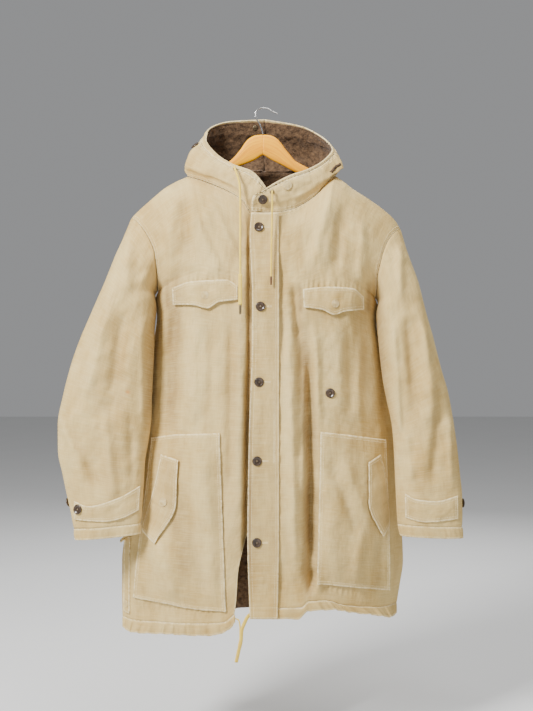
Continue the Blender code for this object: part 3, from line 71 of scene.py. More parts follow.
VALLEY_SHADE = 0.42
STITCH_PITCH = 0.0036
STITCH_LENGTH = 0.0026
STITCH_WIDTH = 0.0012
STITCH_RISE = 0.0006

# Where the camera stood
CAMERA_PLACE = (0.0024, -2.1725, -0.5427)
CAMERA_LENS = 50.0
CAMERA_SENSOR = 36.0
CAMERA_REACH = 60.0
FLOOR_HEIGHT = -1.42
FLOOR_REACH = 12.0

Point = namedtuple("Point", "x y z")
Fold = namedtuple("Fold", "x_top z_top x_low z_low width height")
Section = namedtuple("Section", "outer_x outer_z inner_x inner_z y depth")
Spoke = namedtuple("Spoke", "share out up low_x low_y low_z high_x high_y high_z rim_x rim_y rim_z")
Button = namedtuple("Button", "name x z width height")
Stick = namedtuple("Stick", "x top bottom")
Patch = namedtuple("Patch", "name side top bottom rows columns belly lip")
Snap = namedtuple("Snap", "name side x z width")
Cut = namedtuple("Cut", "width length area")
Light = namedtuple("Light", "name place aim size power")

# How finely the solids' seams are divided, as shares of their length
SIDE_STEPS = (0, 0.06, 0.13, 0.21, 0.30, 0.39, 0.48, 0.57, 0.66, 0.75, 0.84, 0.93)
ARM_STEPS = (0, 0.11, 0.24, 0.38, 0.52, 0.66, 0.79, 0.89, 0.955, 1)
NECK_STEPS = (0, 0.12, 0.24, 0.36, 0.50, 0.64, 0.78, 0.90)
SHOULDER_STEPS = (0, 0.15, 0.32, 0.50, 0.67, 0.84, 1)
BACK_NECK_STEPS = (0, 0.12, 0.24, 0.38, 0.5, 0.62, 0.76, 0.88, 1)

# The seams of each side, bottom to top or centre to outside
CENTRE = {
    "left": (
        Point(-0.066, -0.070, -1.094),
        Point(-0.062, -0.074, -1.064),
        Point(-0.058, -0.076, -1.006),
        Point(-0.050, -0.077, -0.964),
        Point(-0.042, -0.078, -0.934),
        Point(-0.024, -0.080, -0.881),
        Point(-0.011, -0.081, -0.807),
        Point(-0.009, -0.082, -0.595),
        Point(-0.009, -0.080, -0.404),
        Point(-0.009, -0.074, -0.297),
        Point(-0.009, -0.066, -0.238),
    ),
    "right": (
        Point(-0.003, -0.073, -1.080),
        Point(-0.003, -0.081, -0.934),
        Point(-0.003, -0.086, -0.595),
        Point(-0.003, -0.084, -0.404),
        Point(-0.003, -0.078, -0.297),
        Point(-0.003, -0.070, -0.238),
    ),
}
SIDE = {
    "left": (
        Point(-0.321, 0.045, -1.127),
        Point(-0.322, 0.045, -1.069),
        Point(-0.322, 0.044, -1.002),
        Point(-0.313, 0.042, -0.934),
        Point(-0.292, 0.036, -0.799),
        Point(-0.266, 0.028, -0.642),
        Point(-0.248, 0.018, -0.520),
        Point(-0.232, 0.008, -0.440),
        Point(-0.237, 0.003, -0.403),
    ),
    "right": (
        Point(0.295, 0.045, -1.096),
        Point(0.302, 0.045, -1.054),
        Point(0.309, 0.044, -1.002),
        Point(0.306, 0.042, -0.934),
        Point(0.296, 0.036, -0.799),
        Point(0.273, 0.028, -0.642),
        Point(0.255, 0.018, -0.530),
        Point(0.237, 0.008, -0.457),
        Point(0.243, 0.003, -0.420),
    ),
}
ARMHOLE_FRONT = {
    "left": (
        Point(-0.237, 0.003, -0.403),
        Point(-0.236, -0.014, -0.391),
        Point(-0.235, -0.034, -0.364),
        Point(-0.238, -0.048, -0.325),
        Point(-0.257, -0.040, -0.281),
        Point(-0.283, -0.018, -0.249),
        Point(-0.295, 0.000, -0.241),
    ),
    "right": (
        Point(0.243, 0.003, -0.420),
        Point(0.243, -0.014, -0.407),
        Point(0.242, -0.034, -0.377),
        Point(0.250, -0.048, -0.333),
        Point(0.264, -0.040, -0.297),
        Point(0.286, -0.018, -0.271),
        Point(0.297, 0.000, -0.264),
    ),
}
NECK = {
    "left": (
        Point(-0.009, -0.066, -0.238),
        Point(-0.032, -0.066, -0.234),
        Point(-0.048, -0.062, -0.212),
        Point(-0.080, -0.052, -0.190),
        Point(-0.128, -0.034, -0.167),
        Point(-0.171, -0.002, -0.149),
    ),
    "right": (
        Point(-0.003, -0.070, -0.238),
        Point(0.025, -0.070, -0.237),
        Point(0.055, -0.065, -0.231),
        Point(0.081, -0.058, -0.218),
        Point(0.107, -0.050, -0.199),
        Point(0.135, -0.028, -0.168),
        Point(0.155, -0.002, -0.148),
    ),
}
SHOULDER = {
    "left": (
        Point(-0.171, -0.002, -0.149),
        Point(-0.192, 0.000, -0.159),
        Point(-0.219, 0.000, -0.174),
        Point(-0.252, 0.000, -0.201),
        Point(-0.280, 0.000, -0.226),
        Point(-0.295, 0.000, -0.241),
    ),
    "right": (
        Point(0.155, -0.002, -0.148),
        Point(0.171, 0.000, -0.160),
        Point(0.188, 0.000, -0.174),
        Point(0.230, 0.000, -0.201),
        Point(0.259, 0.000, -0.222),
        Point(0.285, 0.000, -0.246),
        Point(0.297, 0.000, -0.264),
    ),
}
BACK_NECK = (
    Point(-0.171, -0.002, -0.149),
    Point(-0.145, 0.028, -0.143),
    Point(-0.090, 0.046, -0.139),
    Point(-0.005, 0.055, -0.137),
    Point(0.080, 0.046, -0.139),
    Point(0.128, 0.028, -0.143),
    Point(0.155, -0.002, -0.148),
)
HEM_SEAM = {
    "left": (
        Point(-0.066, -0.070, -1.094),
        Point(-0.090, -0.066, -1.112),
        Point(-0.170, -0.048, -1.119),
        Point(-0.230, -0.020, -1.123),
        Point(-0.298, 0.020, -1.128),
        Point(-0.321, 0.045, -1.127),
    ),
    "right": (
        Point(-0.003, -0.073, -1.080),
        Point(0.076, -0.073, -1.079),
        Point(0.093, -0.070, -1.066),
        Point(0.127, -0.062, -1.066),
        Point(0.165, -0.050, -1.078),
        Point(0.210, -0.030, -1.087),
        Point(0.270, 0.015, -1.096),
        Point(0.295, 0.045, -1.096),
    ),
}
HEM_EDGE = {
    "left": (
        Point(-0.064, -0.070, -1.110),
        Point(-0.076, -0.068, -1.126),
        Point(-0.112, -0.060, -1.142),
        Point(-0.222, -0.020, -1.150),
        Point(-0.301, 0.020, -1.156),
        Point(-0.321, 0.045, -1.152),
    ),
    "right": (
        Point(-0.003, -0.072, -1.103),
        Point(0.070, -0.072, -1.104),
        Point(0.093, -0.070, -1.087),
        Point(0.140, -0.060, -1.087),
        Point(0.188, -0.045, -1.097),
        Point(0.242, -0.020, -1.109),
        Point(0.283, 0.020, -1.122),
        Point(0.295, 0.045, -1.120),
    ),
}
BACK_DEPTH = 0.072
BACK_HEM_RISE = 0.024
BACK_HEM_HEIGHT = 0.025
PLACKET_ROWS = 22
HEM_GATHERS = 12

# Long soft folds of the panels. A negative height is a valley.
FRONT_FOLDS = {
    "left": (
        Fold(-0.052, -0.300, -0.058, -0.960, 0.012, 0.006),
        Fold(-0.150, -0.200, -0.092, -0.400, 0.022, 0.007),
        Fold(-0.185, -0.330, -0.205, -0.560, 0.020, -0.006),
        Fold(-0.130, -0.440, -0.150, -0.900, 0.030, 0.006),
        Fold(-0.215, -0.760, -0.150, -1.060, 0.022, -0.008),
        Fold(-0.250, -0.900, -0.225, -1.100, 0.020, 0.007),
        Fold(-0.095, -0.700, -0.100, -1.080, 0.016, -0.005),
    ),
    "right": (
        Fold(0.068, -0.420, 0.092, -0.800, 0.015, -0.012),
        Fold(0.092, -0.800, 0.095, -1.060, 0.014, -0.015),
        Fold(0.055, -0.420, 0.060, -0.980, 0.022, 0.007),
        Fold(0.150, -0.190, 0.110, -0.380, 0.020, 0.006),
        Fold(0.150, -0.450, 0.170, -0.700, 0.026, 0.008),
        Fold(0.205, -0.400, 0.215, -0.640, 0.018, -0.008),
        Fold(0.140, -0.780, 0.150, -1.040, 0.022, 0.006),
    ),
}
BACK_FOLDS = (
    Fold(-0.100, -0.260, -0.140, -0.900, 0.030, 0.006),
    Fold(0.020, -0.300, 0.040, -1.050, 0.034, 0.007),
    Fold(0.120, -0.260, 0.160, -0.820, 0.028, 0.006),
    Fold(-0.020, -0.500, -0.050, -1.060, 0.026, -0.006),
    Fold(0.100, -0.600, 0.110, -1.060, 0.024, -0.007),
)

# Sleeves from the armhole down to the cuff seam
SLEEVE = {
    "left": (
        Section(-0.295, -0.241, -0.237, -0.403, 0.000, 0.046),
        Section(-0.303, -0.262, -0.243, -0.410, -0.003, 0.048),
        Section(-0.314, -0.290, -0.247, -0.425, -0.007, 0.050),
        Section(-0.327, -0.321, -0.247, -0.450, -0.011, 0.052),
        Section(-0.350, -0.382, -0.246, -0.485, -0.016, 0.054),
        Section(-0.376, -0.444, -0.244, -0.530, -0.020, 0.055),
        Section(-0.402, -0.505, -0.245, -0.579, -0.022, 0.054),
        Section(-0.423, -0.566, -0.247, -0.630, -0.024, 0.052),
        Section(-0.438, -0.626, -0.248, -0.680, -0.026, 0.050),
        Section(-0.450, -0.690, -0.254, -0.728, -0.028, 0.048),
        Section(-0.449, -0.748, -0.261, -0.772, -0.031, 0.044),
        Section(-0.439, -0.795, -0.263, -0.815, -0.036, 0.040),
        Section(-0.429, -0.838, -0.265, -0.855, -0.041, 0.036),
        Section(-0.419, -0.878, -0.266, -0.885, -0.046, 0.031),
        Section(-0.412, -0.914, -0.268, -0.902, -0.048, 0.028),
    ),
    "right": (
        Section(0.297, -0.264, 0.243, -0.420, 0.000, 0.046),
        Section(0.302, -0.282, 0.248, -0.427, -0.003, 0.048),
        Section(0.307, -0.302, 0.251, -0.443, -0.007, 0.050),
        Section(0.314, -0.326, 0.251, -0.466, -0.011, 0.052),
        Section(0.333, -0.382, 0.250, -0.500, -0.016, 0.054),
        Section(0.348, -0.444, 0.251, -0.540, -0.020, 0.055),
        Section(0.365, -0.505, 0.256, -0.594, -0.022, 0.054),
        Section(0.380, -0.566, 0.265, -0.644, -0.024, 0.052),
        Section(0.397, -0.626, 0.275, -0.694, -0.026, 0.050),
        Section(0.408, -0.690, 0.278, -0.730, -0.028, 0.048),
        Section(0.416, -0.748, 0.280, -0.770, -0.031, 0.044),
        Section(0.420, -0.795, 0.281, -0.812, -0.036, 0.040),
        Section(0.424, -0.845, 0.282, -0.852, -0.042, 0.036),
        Section(0.424, -0.880, 0.283, -0.880, -0.046, 0.031),
        Section(0.423, -0.909, 0.284, -0.904, -0.048, 0.028),
    ),
}
CUFF_END = {
    "left": Section(-0.409, -0.938, -0.269, -0.925, -0.050, 0.024),
    "right": Section(0.425, -0.934, 0.290, -0.929, -0.050, 0.024),
}
SLEEVE_FOLDS = {
    "left": (
        Fold(-0.300, -0.520, -0.380, -0.840, 0.020, -0.007),
        Fold(-0.270, -0.450, -0.300, -0.760, 0.020, 0.006),
        Fold(-0.290, -0.300, -0.350, -0.470, 0.022, 0.006),
    ),
    "right": (
        Fold(0.300, -0.380, 0.330, -0.620, 0.018, -0.006),
        Fold(0.350, -0.560, 0.345, -0.820, 0.022, 0.006),
        Fold(0.290, -0.600, 0.310, -0.800, 0.014, -0.005),
    ),
}

# The hood by spokes, from its front end round to the centre of the back
HOOD = {
    "left": (
        Spoke(0.000, 0.000, 0.012, 0.018, -0.0640, -0.224, 0.016, -0.0650, -0.214, 0.014, -0.066, -0.203),
        Spoke(0.115, 0.002, 0.012, -0.030, -0.0690, -0.210, -0.022, -0.0690, -0.186, -0.011, -0.067, -0.166),
        Spoke(0.188, 0.003, 0.012, -0.052, -0.0670, -0.188, -0.044, -0.0660, -0.168, -0.028, -0.063, -0.149),
        Spoke(0.284, 0.004, 0.012, -0.088, -0.0600, -0.168, -0.084, -0.0590, -0.148, -0.070, -0.046, -0.130),
        Spoke(0.420, 0.005, 0.012, -0.138, -0.0400, -0.146, -0.132, -0.0330, -0.120, -0.108, -0.016, -0.100),
        Spoke(0.557, 0.006, 0.013, -0.178, -0.0010, -0.127, -0.161, 0.0080, -0.088, -0.131, 0.022, -0.061),
        Spoke(0.653, 0.010, 0.011, -0.168, 0.0500, -0.132, -0.153, 0.0560, -0.075, -0.129, 0.047, -0.036),
        Spoke(0.793, 0.014, 0.006, -0.116, 0.0880, -0.158, -0.110, 0.1050, -0.080, -0.086, 0.071, -0.011),
        Spoke(1.000, 0.016, 0.003, -0.005, 0.1000, -0.176, -0.002, 0.1240, -0.090, -0.001, 0.084, -0.003),
    ),
    "right": (
        Spoke(0.000, 0.002, 0.010, -0.029, -0.0810, -0.222, -0.028, -0.0830, -0.214, -0.026, -0.084, -0.205),
        Spoke(0.040, 0.003, 0.010, -0.014, -0.0810, -0.218, -0.012, -0.0830, -0.206, -0.008, -0.083, -0.195),
        Spoke(0.115, 0.003, 0.011, 0.016, -0.0800, -0.214, 0.014, -0.0820, -0.196, 0.012, -0.079, -0.181),
        Spoke(0.211, 0.003, 0.011, 0.056, -0.0740, -0.206, 0.054, -0.0740, -0.180, 0.052, -0.067, -0.158),
        Spoke(0.335, 0.004, 0.012, 0.100, -0.0600, -0.184, 0.098, -0.0570, -0.160, 0.090, -0.050, -0.142),
        Spoke(0.476, 0.005, 0.012, 0.146, -0.0320, -0.152, 0.141, -0.0240, -0.130, 0.126, -0.021, -0.117),
        Spoke(0.568, 0.006, 0.013, 0.171, -0.0010, -0.130, 0.163, 0.0080, -0.106, 0.147, 0.014, -0.086),
        Spoke(0.667, 0.010, 0.011, 0.163, 0.0500, -0.128, 0.157, 0.0550, -0.085, 0.139, 0.041, -0.063),
        Spoke(0.793, 0.014, 0.006, 0.114, 0.0880, -0.156, 0.110, 0.1050, -0.080, 0.086, 0.074, -0.022),
        Spoke(1.000, 0.016, 0.003, -0.005, 0.1000, -0.176, -0.002, 0.1240, -0.090, -0.001, 0.084, -0.003),
    ),
}
HOOD_LEVELS = (0, 0.10, 0.22, 0.36, 0.50, 0.64, 0.78, 0.90)
RIM_LEVELS = (0.90, 0.955, 1)
COLLAR_END = {
    "left": (Point(0.018, -0.0620, -0.240), Point(0.005, -0.0640, -0.239)),
    "right": (Point(-0.029, -0.0775, -0.2365), Point(-0.016, -0.0745, -0.237)),
}
NECK_AXIS = Point(-0.006, 0.000, -0.150)
HOOD_MIDDLE = Point(-0.005, 0.035, -0.085)
PLACKET_LEFT = (
    Point(-0.030, 0, -0.2395),
    Point(-0.033, 0, -0.279),
    Point(-0.031, 0, -0.344),
    Point(-0.028, 0, -0.408),
    Point(-0.028, 0, -0.495),
    Point(-0.035, 0, -0.721),
    Point(-0.038, 0, -0.933),
    Point(-0.034, 0, -1.080),
    Point(-0.033, 0, -1.102),
)
PLACKET_RIGHT = (
    Point(0.028, 0, -0.2385),
    Point(0.029, 0, -0.425),
    Point(0.029, 0, -0.933),
    Point(0.026, 0, -1.102),
)

# Flaps and pockets as outlines: top, bottom, and the rise of their middle and lower edge
PATCHES = (
    Patch(
        "pocket_lower_left",
        "left",
        ((-0.250, -0.722), (-0.182, -0.711), (-0.097, -0.707)),
        ((-0.292, -1.076), (-0.215, -1.079), (-0.172, -1.085), (-0.084, -1.089)),
        14,
        8,
        0.006,
        0.000,
    ),
    Patch(
        "pocket_lower_right",
        "right",
        ((0.117, -0.704), (0.190, -0.714), (0.266, -0.727)),
        ((0.110, -1.029), (0.160, -1.037), (0.215, -1.047), (0.276, -1.062)),
        14,
        8,
        0.007,
        0.000,
    ),
    Patch(
        "side_strip_left",
        "left",
        ((-0.3150, -0.945), (-0.3000, -0.945)),
        ((-0.3180, -1.115), (-0.3020, -1.117)),
        9,
        3,
        0.000,
        0.000,
    ),
    Patch(
        "flap_chest_left",
        "left",
        ((-0.201, -0.397), (-0.158, -0.385), (-0.082, -0.382), (-0.059, -0.395)),
        ((-0.199, -0.434), (-0.153, -0.436), (-0.123, -0.443), (-0.098, -0.430), (-0.058, -0.425)),
        4,
        10,
        0.003,
        0.003,
    ),
    Patch(
        "flap_chest_right",
        "right",
        ((0.079, -0.402), (0.132, -0.397), (0.186, -0.399), (0.212, -0.417)),
        ((0.081, -0.441), (0.119, -0.446), (0.146, -0.457), (0.168, -0.450), (0.213, -0.444)),
        4,
        10,
        0.003,
        0.003,
    ),
    Patch(
        "flap_hand_left",
        "left",
        ((-0.226, -0.756), (-0.247, -0.845), (-0.268, -0.912), (-0.270, -0.925)),
        ((-0.186, -0.766), (-0.189, -0.806), (-0.191, -0.860), (-0.238, -0.946)),
        9,
        5,
        0.002,
        0.003,
    ),
    Patch(
        "flap_hand_right",
        "right",
        ((0.252, -0.758), (0.266, -0.812), (0.271, -0.870), (0.274, -0.912)),
        ((0.222, -0.772), (0.222, -0.792), (0.222, -0.858), (0.256, -0.937)),
        9,
        5,
        0.002,
        0.003,
    ),
)
TABS = (
    Patch(
        "cuff_tab_left",
        "left",
        ((-0.268, -0.822), (-0.312, -0.845), (-0.378, -0.862), (-0.408, -0.853)),
        ((-0.270, -0.873), (-0.305, -0.889), (-0.340, -0.8955), (-0.408, -0.893)),
        4,
        9,
        0.002,
        0.0,
    ),
    Patch(
        "cuff_tab_right",
        "right",
        ((0.297, -0.836), (0.318, -0.847), (0.362, -0.851), (0.411, -0.841)),
        ((0.298, -0.888), (0.314, -0.893), (0.339, -0.8965), (0.411, -0.891)),
        4,
        9,
        0.002,
        0.0,
    ),
)
PLACKET_BUTTONS = (
    Button("button_front_1", -0.0137, -0.2706, BUTTON_WIDTH, BUTTON_HEIGHT),
    Button("button_front_2", -0.0105, -0.4392, BUTTON_WIDTH, BUTTON_HEIGHT),
    Button("button_front_3", -0.0134, -0.5987, BUTTON_WIDTH, BUTTON_HEIGHT),
    Button("button_front_4", -0.0177, -0.7656, BUTTON_WIDTH, BUTTON_HEIGHT),
    Button("button_front_5", -0.0181, -0.9385, BUTTON_WIDTH, BUTTON_HEIGHT),
)
STORM_BUTTON = Button("button_storm", 0.1380, -0.6226, BUTTON_WIDTH, BUTTON_HEIGHT)
COLLAR_BUTTON = Button("button_collar", -0.0060, -0.2125, BUTTON_WIDTH, BUTTON_HEIGHT)
CUFF_BUTTON = Button("button_cuff_left", -0.3984, -0.8700, BUTTON_WIDTH, BUTTON_HEIGHT)
FLAP_SNAPS = (
    Snap("snap_chest_left", "left", -0.1275, -0.4145, 0.0176),
    Snap("snap_chest_right", "right", 0.1483, -0.4330, 0.0176),
    Snap("snap_hand_left", "left", -0.2200, -0.8580, 0.0200),
    Snap("snap_side_left", "left", -0.3100, -1.0950, 0.0176),
)
EYELETS = (Point(-0.0655, 0, -0.1440), Point(0.0141, 0, -0.1960))
HOOD_CORD_LEFT = (
    Point(-0.0600, -0.0770, -0.160),
    Point(-0.0545, -0.0820, -0.180),
    Point(-0.0530, -0.0860, -0.220),
    Point(-0.0528, -0.0950, -0.300),
    Point(-0.0527, -0.1000, -0.372),
)
HOOD_CORD_RIGHT = (
    Point(0.0145, -0.0905, -0.212),
    Point(0.0140, -0.0910, -0.240),
    Point(0.0130, -0.0930, -0.300),
    Point(0.0120, -0.0945, -0.376),
)
HEM_CORD_RIGHT = (
    Point(-0.0042, -0.0715, -1.0900),
    Point(-0.0200, -0.0715, -1.0915),
    Point(-0.0340, -0.0722, -1.0950),
    Point(-0.0440, -0.0765, -1.110),
    Point(-0.0506, -0.0790, -1.129),
    Point(-0.0516, -0.0800, -1.147),
    Point(-0.0567, -0.0800, -1.169),
    Point(-0.0618, -0.0795, -1.193),
)
HEM_CORD_LEFT = (
    Point(-0.0641, -0.0690, -1.1030),
    Point(-0.0565, -0.0700, -1.1065),
    Point(-0.0540, -0.0728, -1.1220),
    Point(-0.0540, -0.0763, -1.1420),
    Point(-0.0575, -0.0763, -1.1600),
)
WOOD = (
    Stick(-0.224, -0.1830, -0.1930),
    Stick(-0.221, -0.1797, -0.1990),
    Stick(-0.200, -0.1690, -0.1915),
    Stick(-0.171, -0.1625, -0.1860),
    Stick(-0.120, -0.1410, -0.1660),
    Stick(-0.073, -0.1105, -0.1340),
    Stick(-0.0545, -0.0890, -0.1255),
    Stick(-0.044, -0.0737, -0.1215),
    Stick(-0.035, -0.0645, -0.1180),
    Stick(-0.021, -0.0582, -0.1115),
    Stick(-0.005, -0.0570, -0.1025),
    Stick(0.010, -0.0582, -0.1105),
    Stick(0.022, -0.0632, -0.1168),
    Stick(0.034, -0.0748, -0.1228),
    Stick(0.0435, -0.0880, -0.1278),
    Stick(0.053, -0.0998, -0.1330),
    Stick(0.065, -0.1141, -0.1395),
    Stick(0.081, -0.1235, -0.1470),
    Stick(0.120, -0.1430, -0.1670),
    Stick(0.155, -0.1610, -0.1840),
    Stick(0.188, -0.1785, -0.2000),
    Stick(0.214, -0.1960, -0.2140),
    Stick(0.217, -0.1990, -0.2080),
)
HOOK_WIRE = (
    Point(-0.0050, 0, -0.0562),
    Point(-0.0080, 0, -0.0460),
    Point(-0.0125, 0, -0.0340),
    Point(-0.0215, 0, -0.0160),
    Point(-0.0215, 0, -0.0080),
    Point(-0.0160, 0, -0.0010),
    Point(-0.0080, 0, 0.0015),
    Point(0.0000, 0, 0.0015),
    Point(0.0080, 0, -0.0010),
    Point(0.0160, 0, -0.0060),
    Point(0.0270, 0, -0.0110),
)

# Sharper creases, drawn over the soft folds
CREASES = {
    "left": (
        Fold(-0.150, -0.446, -0.160, -0.722, 0.016, 0.0035),
        Fold(-0.197, -0.425, -0.204, -0.720, 0.013, -0.0050),
        Fold(-0.128, -0.182, -0.056, -0.345, 0.010, 0.0030),
        Fold(-0.158, -0.205, -0.080, -0.365, 0.009, -0.0030),
        Fold(-0.182, -0.190, -0.163, -0.345, 0.016, -0.0035),
        Fold(-0.212, -0.240, -0.200, -0.385, 0.012, 0.0030),
        Fold(-0.110, -0.460, -0.118, -0.690, 0.010, -0.0022),
        Fold(-0.072, -0.440, -0.076, -0.900, 0.009, -0.0028),
        Fold(-0.0345, -0.230, -0.0350, -0.640, 0.0045, -0.0040),
        Fold(-0.0360, -0.520, -0.0440, -1.080, 0.0058, -0.0085),
        Fold(-0.175, -0.790, -0.128, -1.060, 0.013, -0.0035),
        Fold(-0.235, -0.930, -0.190, -1.080, 0.014, 0.0045),
        Fold(-0.262, -0.960, -0.225, -1.075, 0.010, -0.0035),
        Fold(-0.140, -0.740, -0.112, -0.930, 0.014, 0.0030),
        Fold(-0.120, -0.960, -0.105, -1.080, 0.010, 0.0025),
        Fold(-0.290, -0.960, -0.270, -1.110, 0.012, 0.0030),
    ),
    "right": (
        Fold(0.060, -0.385, 0.070, -0.520, 0.008, -0.0050),
        Fold(0.030, -0.300, 0.040, -0.600, 0.008, -0.0022),
        Fold(0.052, -0.560, 0.064, -1.040, 0.010, 0.0035),
        Fold(0.094, -0.480, 0.100, -1.090, 0.0085, -0.0085),
        Fold(0.082, -0.560, 0.080, -0.860, 0.007, 0.0030),
        Fold(0.104, -0.470, 0.112, -0.690, 0.010, 0.0035),
        Fold(0.176, -0.470, 0.180, -0.690, 0.011, -0.0030),
        Fold(0.206, -0.470, 0.200, -0.700, 0.009, 0.0030),
        Fold(0.140, -0.190, 0.095, -0.360, 0.012, 0.0035),
        Fold(0.170, -0.200, 0.150, -0.370, 0.012, -0.0030),
        Fold(0.205, -0.235, 0.205, -0.400, 0.012, 0.0030),
        Fold(0.133, -0.760, 0.205, -0.950, 0.011, -0.0040),
        Fold(0.160, -0.750, 0.230, -0.930, 0.010, 0.0035),
        Fold(0.205, -0.900, 0.190, -1.040, 0.012, 0.0035),
        Fold(0.098, -0.960, 0.118, -1.060, 0.007, 0.0050),
        Fold(0.108, -0.990, 0.090, -1.064, 0.006, -0.0050),
        Fold(0.245, -0.930, 0.250, -1.060, 0.012, -0.0030),
    ),
}
BACK_CREASES = (
    Fold(-0.200, -0.300, -0.150, -0.520, 0.014, 0.0040),
    Fold(0.200, -0.300, 0.150, -0.520, 0.014, 0.0040),
    Fold(-0.060, -0.200, -0.030, -0.480, 0.014, 0.0035),
    Fold(0.080, -0.220, 0.050, -0.520, 0.012, -0.0035),
    Fold(-0.170, -0.560, -0.200, -1.050, 0.016, -0.0045),
    Fold(0.190, -0.560, 0.230, -1.050, 0.016, 0.0045),
    Fold(0.060, -0.640, 0.070, -1.090, 0.014, 0.0040),
    Fold(-0.100, -0.700, -0.090, -1.090, 0.013, 0.0040),
)
SLEEVE_CREASES = {
    "left": (
        Fold(-0.262, -0.440, -0.262, -0.720, 0.008, 0.0030),
        Fold(-0.300, -0.430, -0.330, -0.640, 0.012, -0.0035),
        Fold(-0.330, -0.420, -0.382, -0.640, 0.014, 0.0040),
        Fold(-0.420, -0.700, -0.340, -0.850, 0.010, -0.0035),
        Fold(-0.440, -0.690, -0.380, -0.780, 0.008, 0.0035),
        Fold(-0.345, -0.640, -0.320, -0.850, 0.010, 0.0035),
        Fold(-0.290, -0.640, -0.285, -0.830, 0.009, -0.0030),
        Fold(-0.300, -0.270, -0.290, -0.420, 0.012, 0.0035),
    ),
    "right": (
        Fold(0.268, -0.450, 0.290, -0.740, 0.008, 0.0035),
        Fold(0.300, -0.440, 0.322, -0.700, 0.011, -0.0035),
        Fold(0.335, -0.440, 0.358, -0.680, 0.012, 0.0035),
        Fold(0.300, -0.690, 0.312, -0.830, 0.009, 0.0035),
        Fold(0.372, -0.640, 0.352, -0.830, 0.012, -0.0035),
        Fold(0.395, -0.660, 0.395, -0.820, 0.010, 0.0035),
        Fold(0.290, -0.290, 0.286, -0.430, 0.010, 0.0035),
    ),
}

# Rows of small puckers beside a sewn line. width is how far they reach and height is their depth.
PUCKERS = {
    "left": (
        Fold(-0.058, -0.388, -0.202, -0.390, 0.014, 0.0012),
        Fold(-0.084, -1.094, -0.300, -1.086, 0.012, 0.0012),
    ),
    "right": (
        Fold(0.078, -0.394, 0.214, -0.404, 0.014, 0.0012),
        Fold(0.108, -1.040, 0.290, -1.062, 0.012, 0.0012),
        Fold(0.000, -1.070, 0.090, -1.058, 0.012, 0.0014),
    ),
}

# Where the cloth has faded to grey, and where it is painted browner: mostly painted shade in fold valleys,
# beside the placket's left edge, at the chest flaps' ends and between the body and the sleeves, with a few
# broad brown patches
FADES = (
    Fold(-0.145, -0.430, -0.160, -0.730, 0.022, 0.75),
    Fold(-0.120, -0.740, -0.130, -1.100, 0.034, 0.80),
    Fold(-0.245, -0.930, -0.190, -1.130, 0.026, 0.60),
    Fold(0.050, -0.420, 0.048, -1.000, 0.014, 0.65),
    Fold(0.110, -0.450, 0.130, -0.680, 0.030, 0.55),
    Fold(0.133, -0.750, 0.215, -0.960, 0.018, 0.80),
    Fold(0.262, -0.900, 0.282, -1.100, 0.026, 0.75),
    Fold(0.222, -0.420, 0.232, -0.720, 0.018, 0.85),
    Fold(0.262, -0.330, 0.292, -0.900, 0.018, 0.75),
    Fold(-0.440, -0.600, -0.415, -0.950, 0.030, 0.80),
    Fold(-0.360, -0.480, -0.385, -0.780, 0.018, 0.55),
    Fold(-0.120, -0.110, 0.130, -0.170, 0.050, 0.85),
    Fold(-0.200, -0.200, 0.180, -0.220, 0.040, 0.35),
)
# Mostly painted shade: dark lines where shade falls, with a few broad brown patches
SHADE_AND_BROWNS = (
    Fold(-0.198, -0.380, -0.205, -0.760, 0.018, 0.30),
    Fold(-0.062, -0.360, -0.060, -1.080, 0.013, 0.25),
    Fold(-0.300, -0.480, -0.340, -0.880, 0.022, 0.22),
    Fold(-0.165, -0.900, -0.190, -1.090, 0.018, 0.22),
    Fold(0.082, -0.400, 0.096, -1.080, 0.012, 0.50),
    Fold(-0.033, -0.235, -0.034, -1.150, 0.0042, 1.00),
    Fold(0.236, -0.330, 0.262, -0.720, 0.011, 0.80),
    Fold(-0.232, -0.330, -0.254, -0.720, 0.011, 0.80),
    Fold(0.073, -0.385, 0.075, -0.460, 0.005, 0.80),
    Fold(0.2235, -0.375, 0.2240, -0.460, 0.007, 0.90),
    Fold(-0.2120, -0.370, -0.2120, -0.450, 0.006, 0.60),
    Fold(0.018, -0.260, 0.016, -1.080, 0.012, 0.25),
    Fold(-0.020, -0.620, -0.020, -1.100, 0.022, 0.30),
    Fold(0.195, -0.640, 0.180, -0.780, 0.014, 0.25),
    Fold(0.170, -0.960, 0.170, -1.060, 0.040, 0.22),
)
STAINS = (Fold(-0.2930, -0.6180, -0.2920, -0.6240, 0.0035, 1.0),)

# Where the wool lining of the hood starts, in the solids' columns, and ends, in rows below the rim
LINING_IN = 3
LINING_BELOW = 3

# Colours, all linear
SAND = (0.500, 0.320, 0.090, 1)
# BROWN is both a darker tone of the cloth and the painted shade in fold valleys and dark lines; GREY is both
# the faded tone and the painted highlight on fold ridges
BROWN = (0.210, 0.120, 0.040, 1)
GREY = (0.700, 0.530, 0.225, 1)
RUBBED = (0.950, 0.820, 0.500, 1)
STAIN = (0.560, 0.230, 0.040, 1)
THREAD = (0.900, 0.760, 0.460, 1)
PILE_DARK = (0.016, 0.007, 0.003, 1)
PILE_LIGHT = (0.190, 0.110, 0.055, 1)
BUTTON_BROWN = (0.030, 0.018, 0.010, 1)
CORD_YELLOW = (0.960, 0.700, 0.090, 1)
CORD_WORN = (0.760, 0.440, 0.080, 1)
AGLET_BROWN = (0.100, 0.045, 0.020, 1)
WOOD_LIGHT = (1.000, 0.470, 0.000, 1)
WOOD_DARK = (0.620, 0.150, 0.002, 1)
STEEL = (0.680, 0.670, 0.650, 1)
BRASS = (0.290, 0.230, 0.140, 1)
FLOOR_PALE = (0.780, 0.780, 0.770, 1)
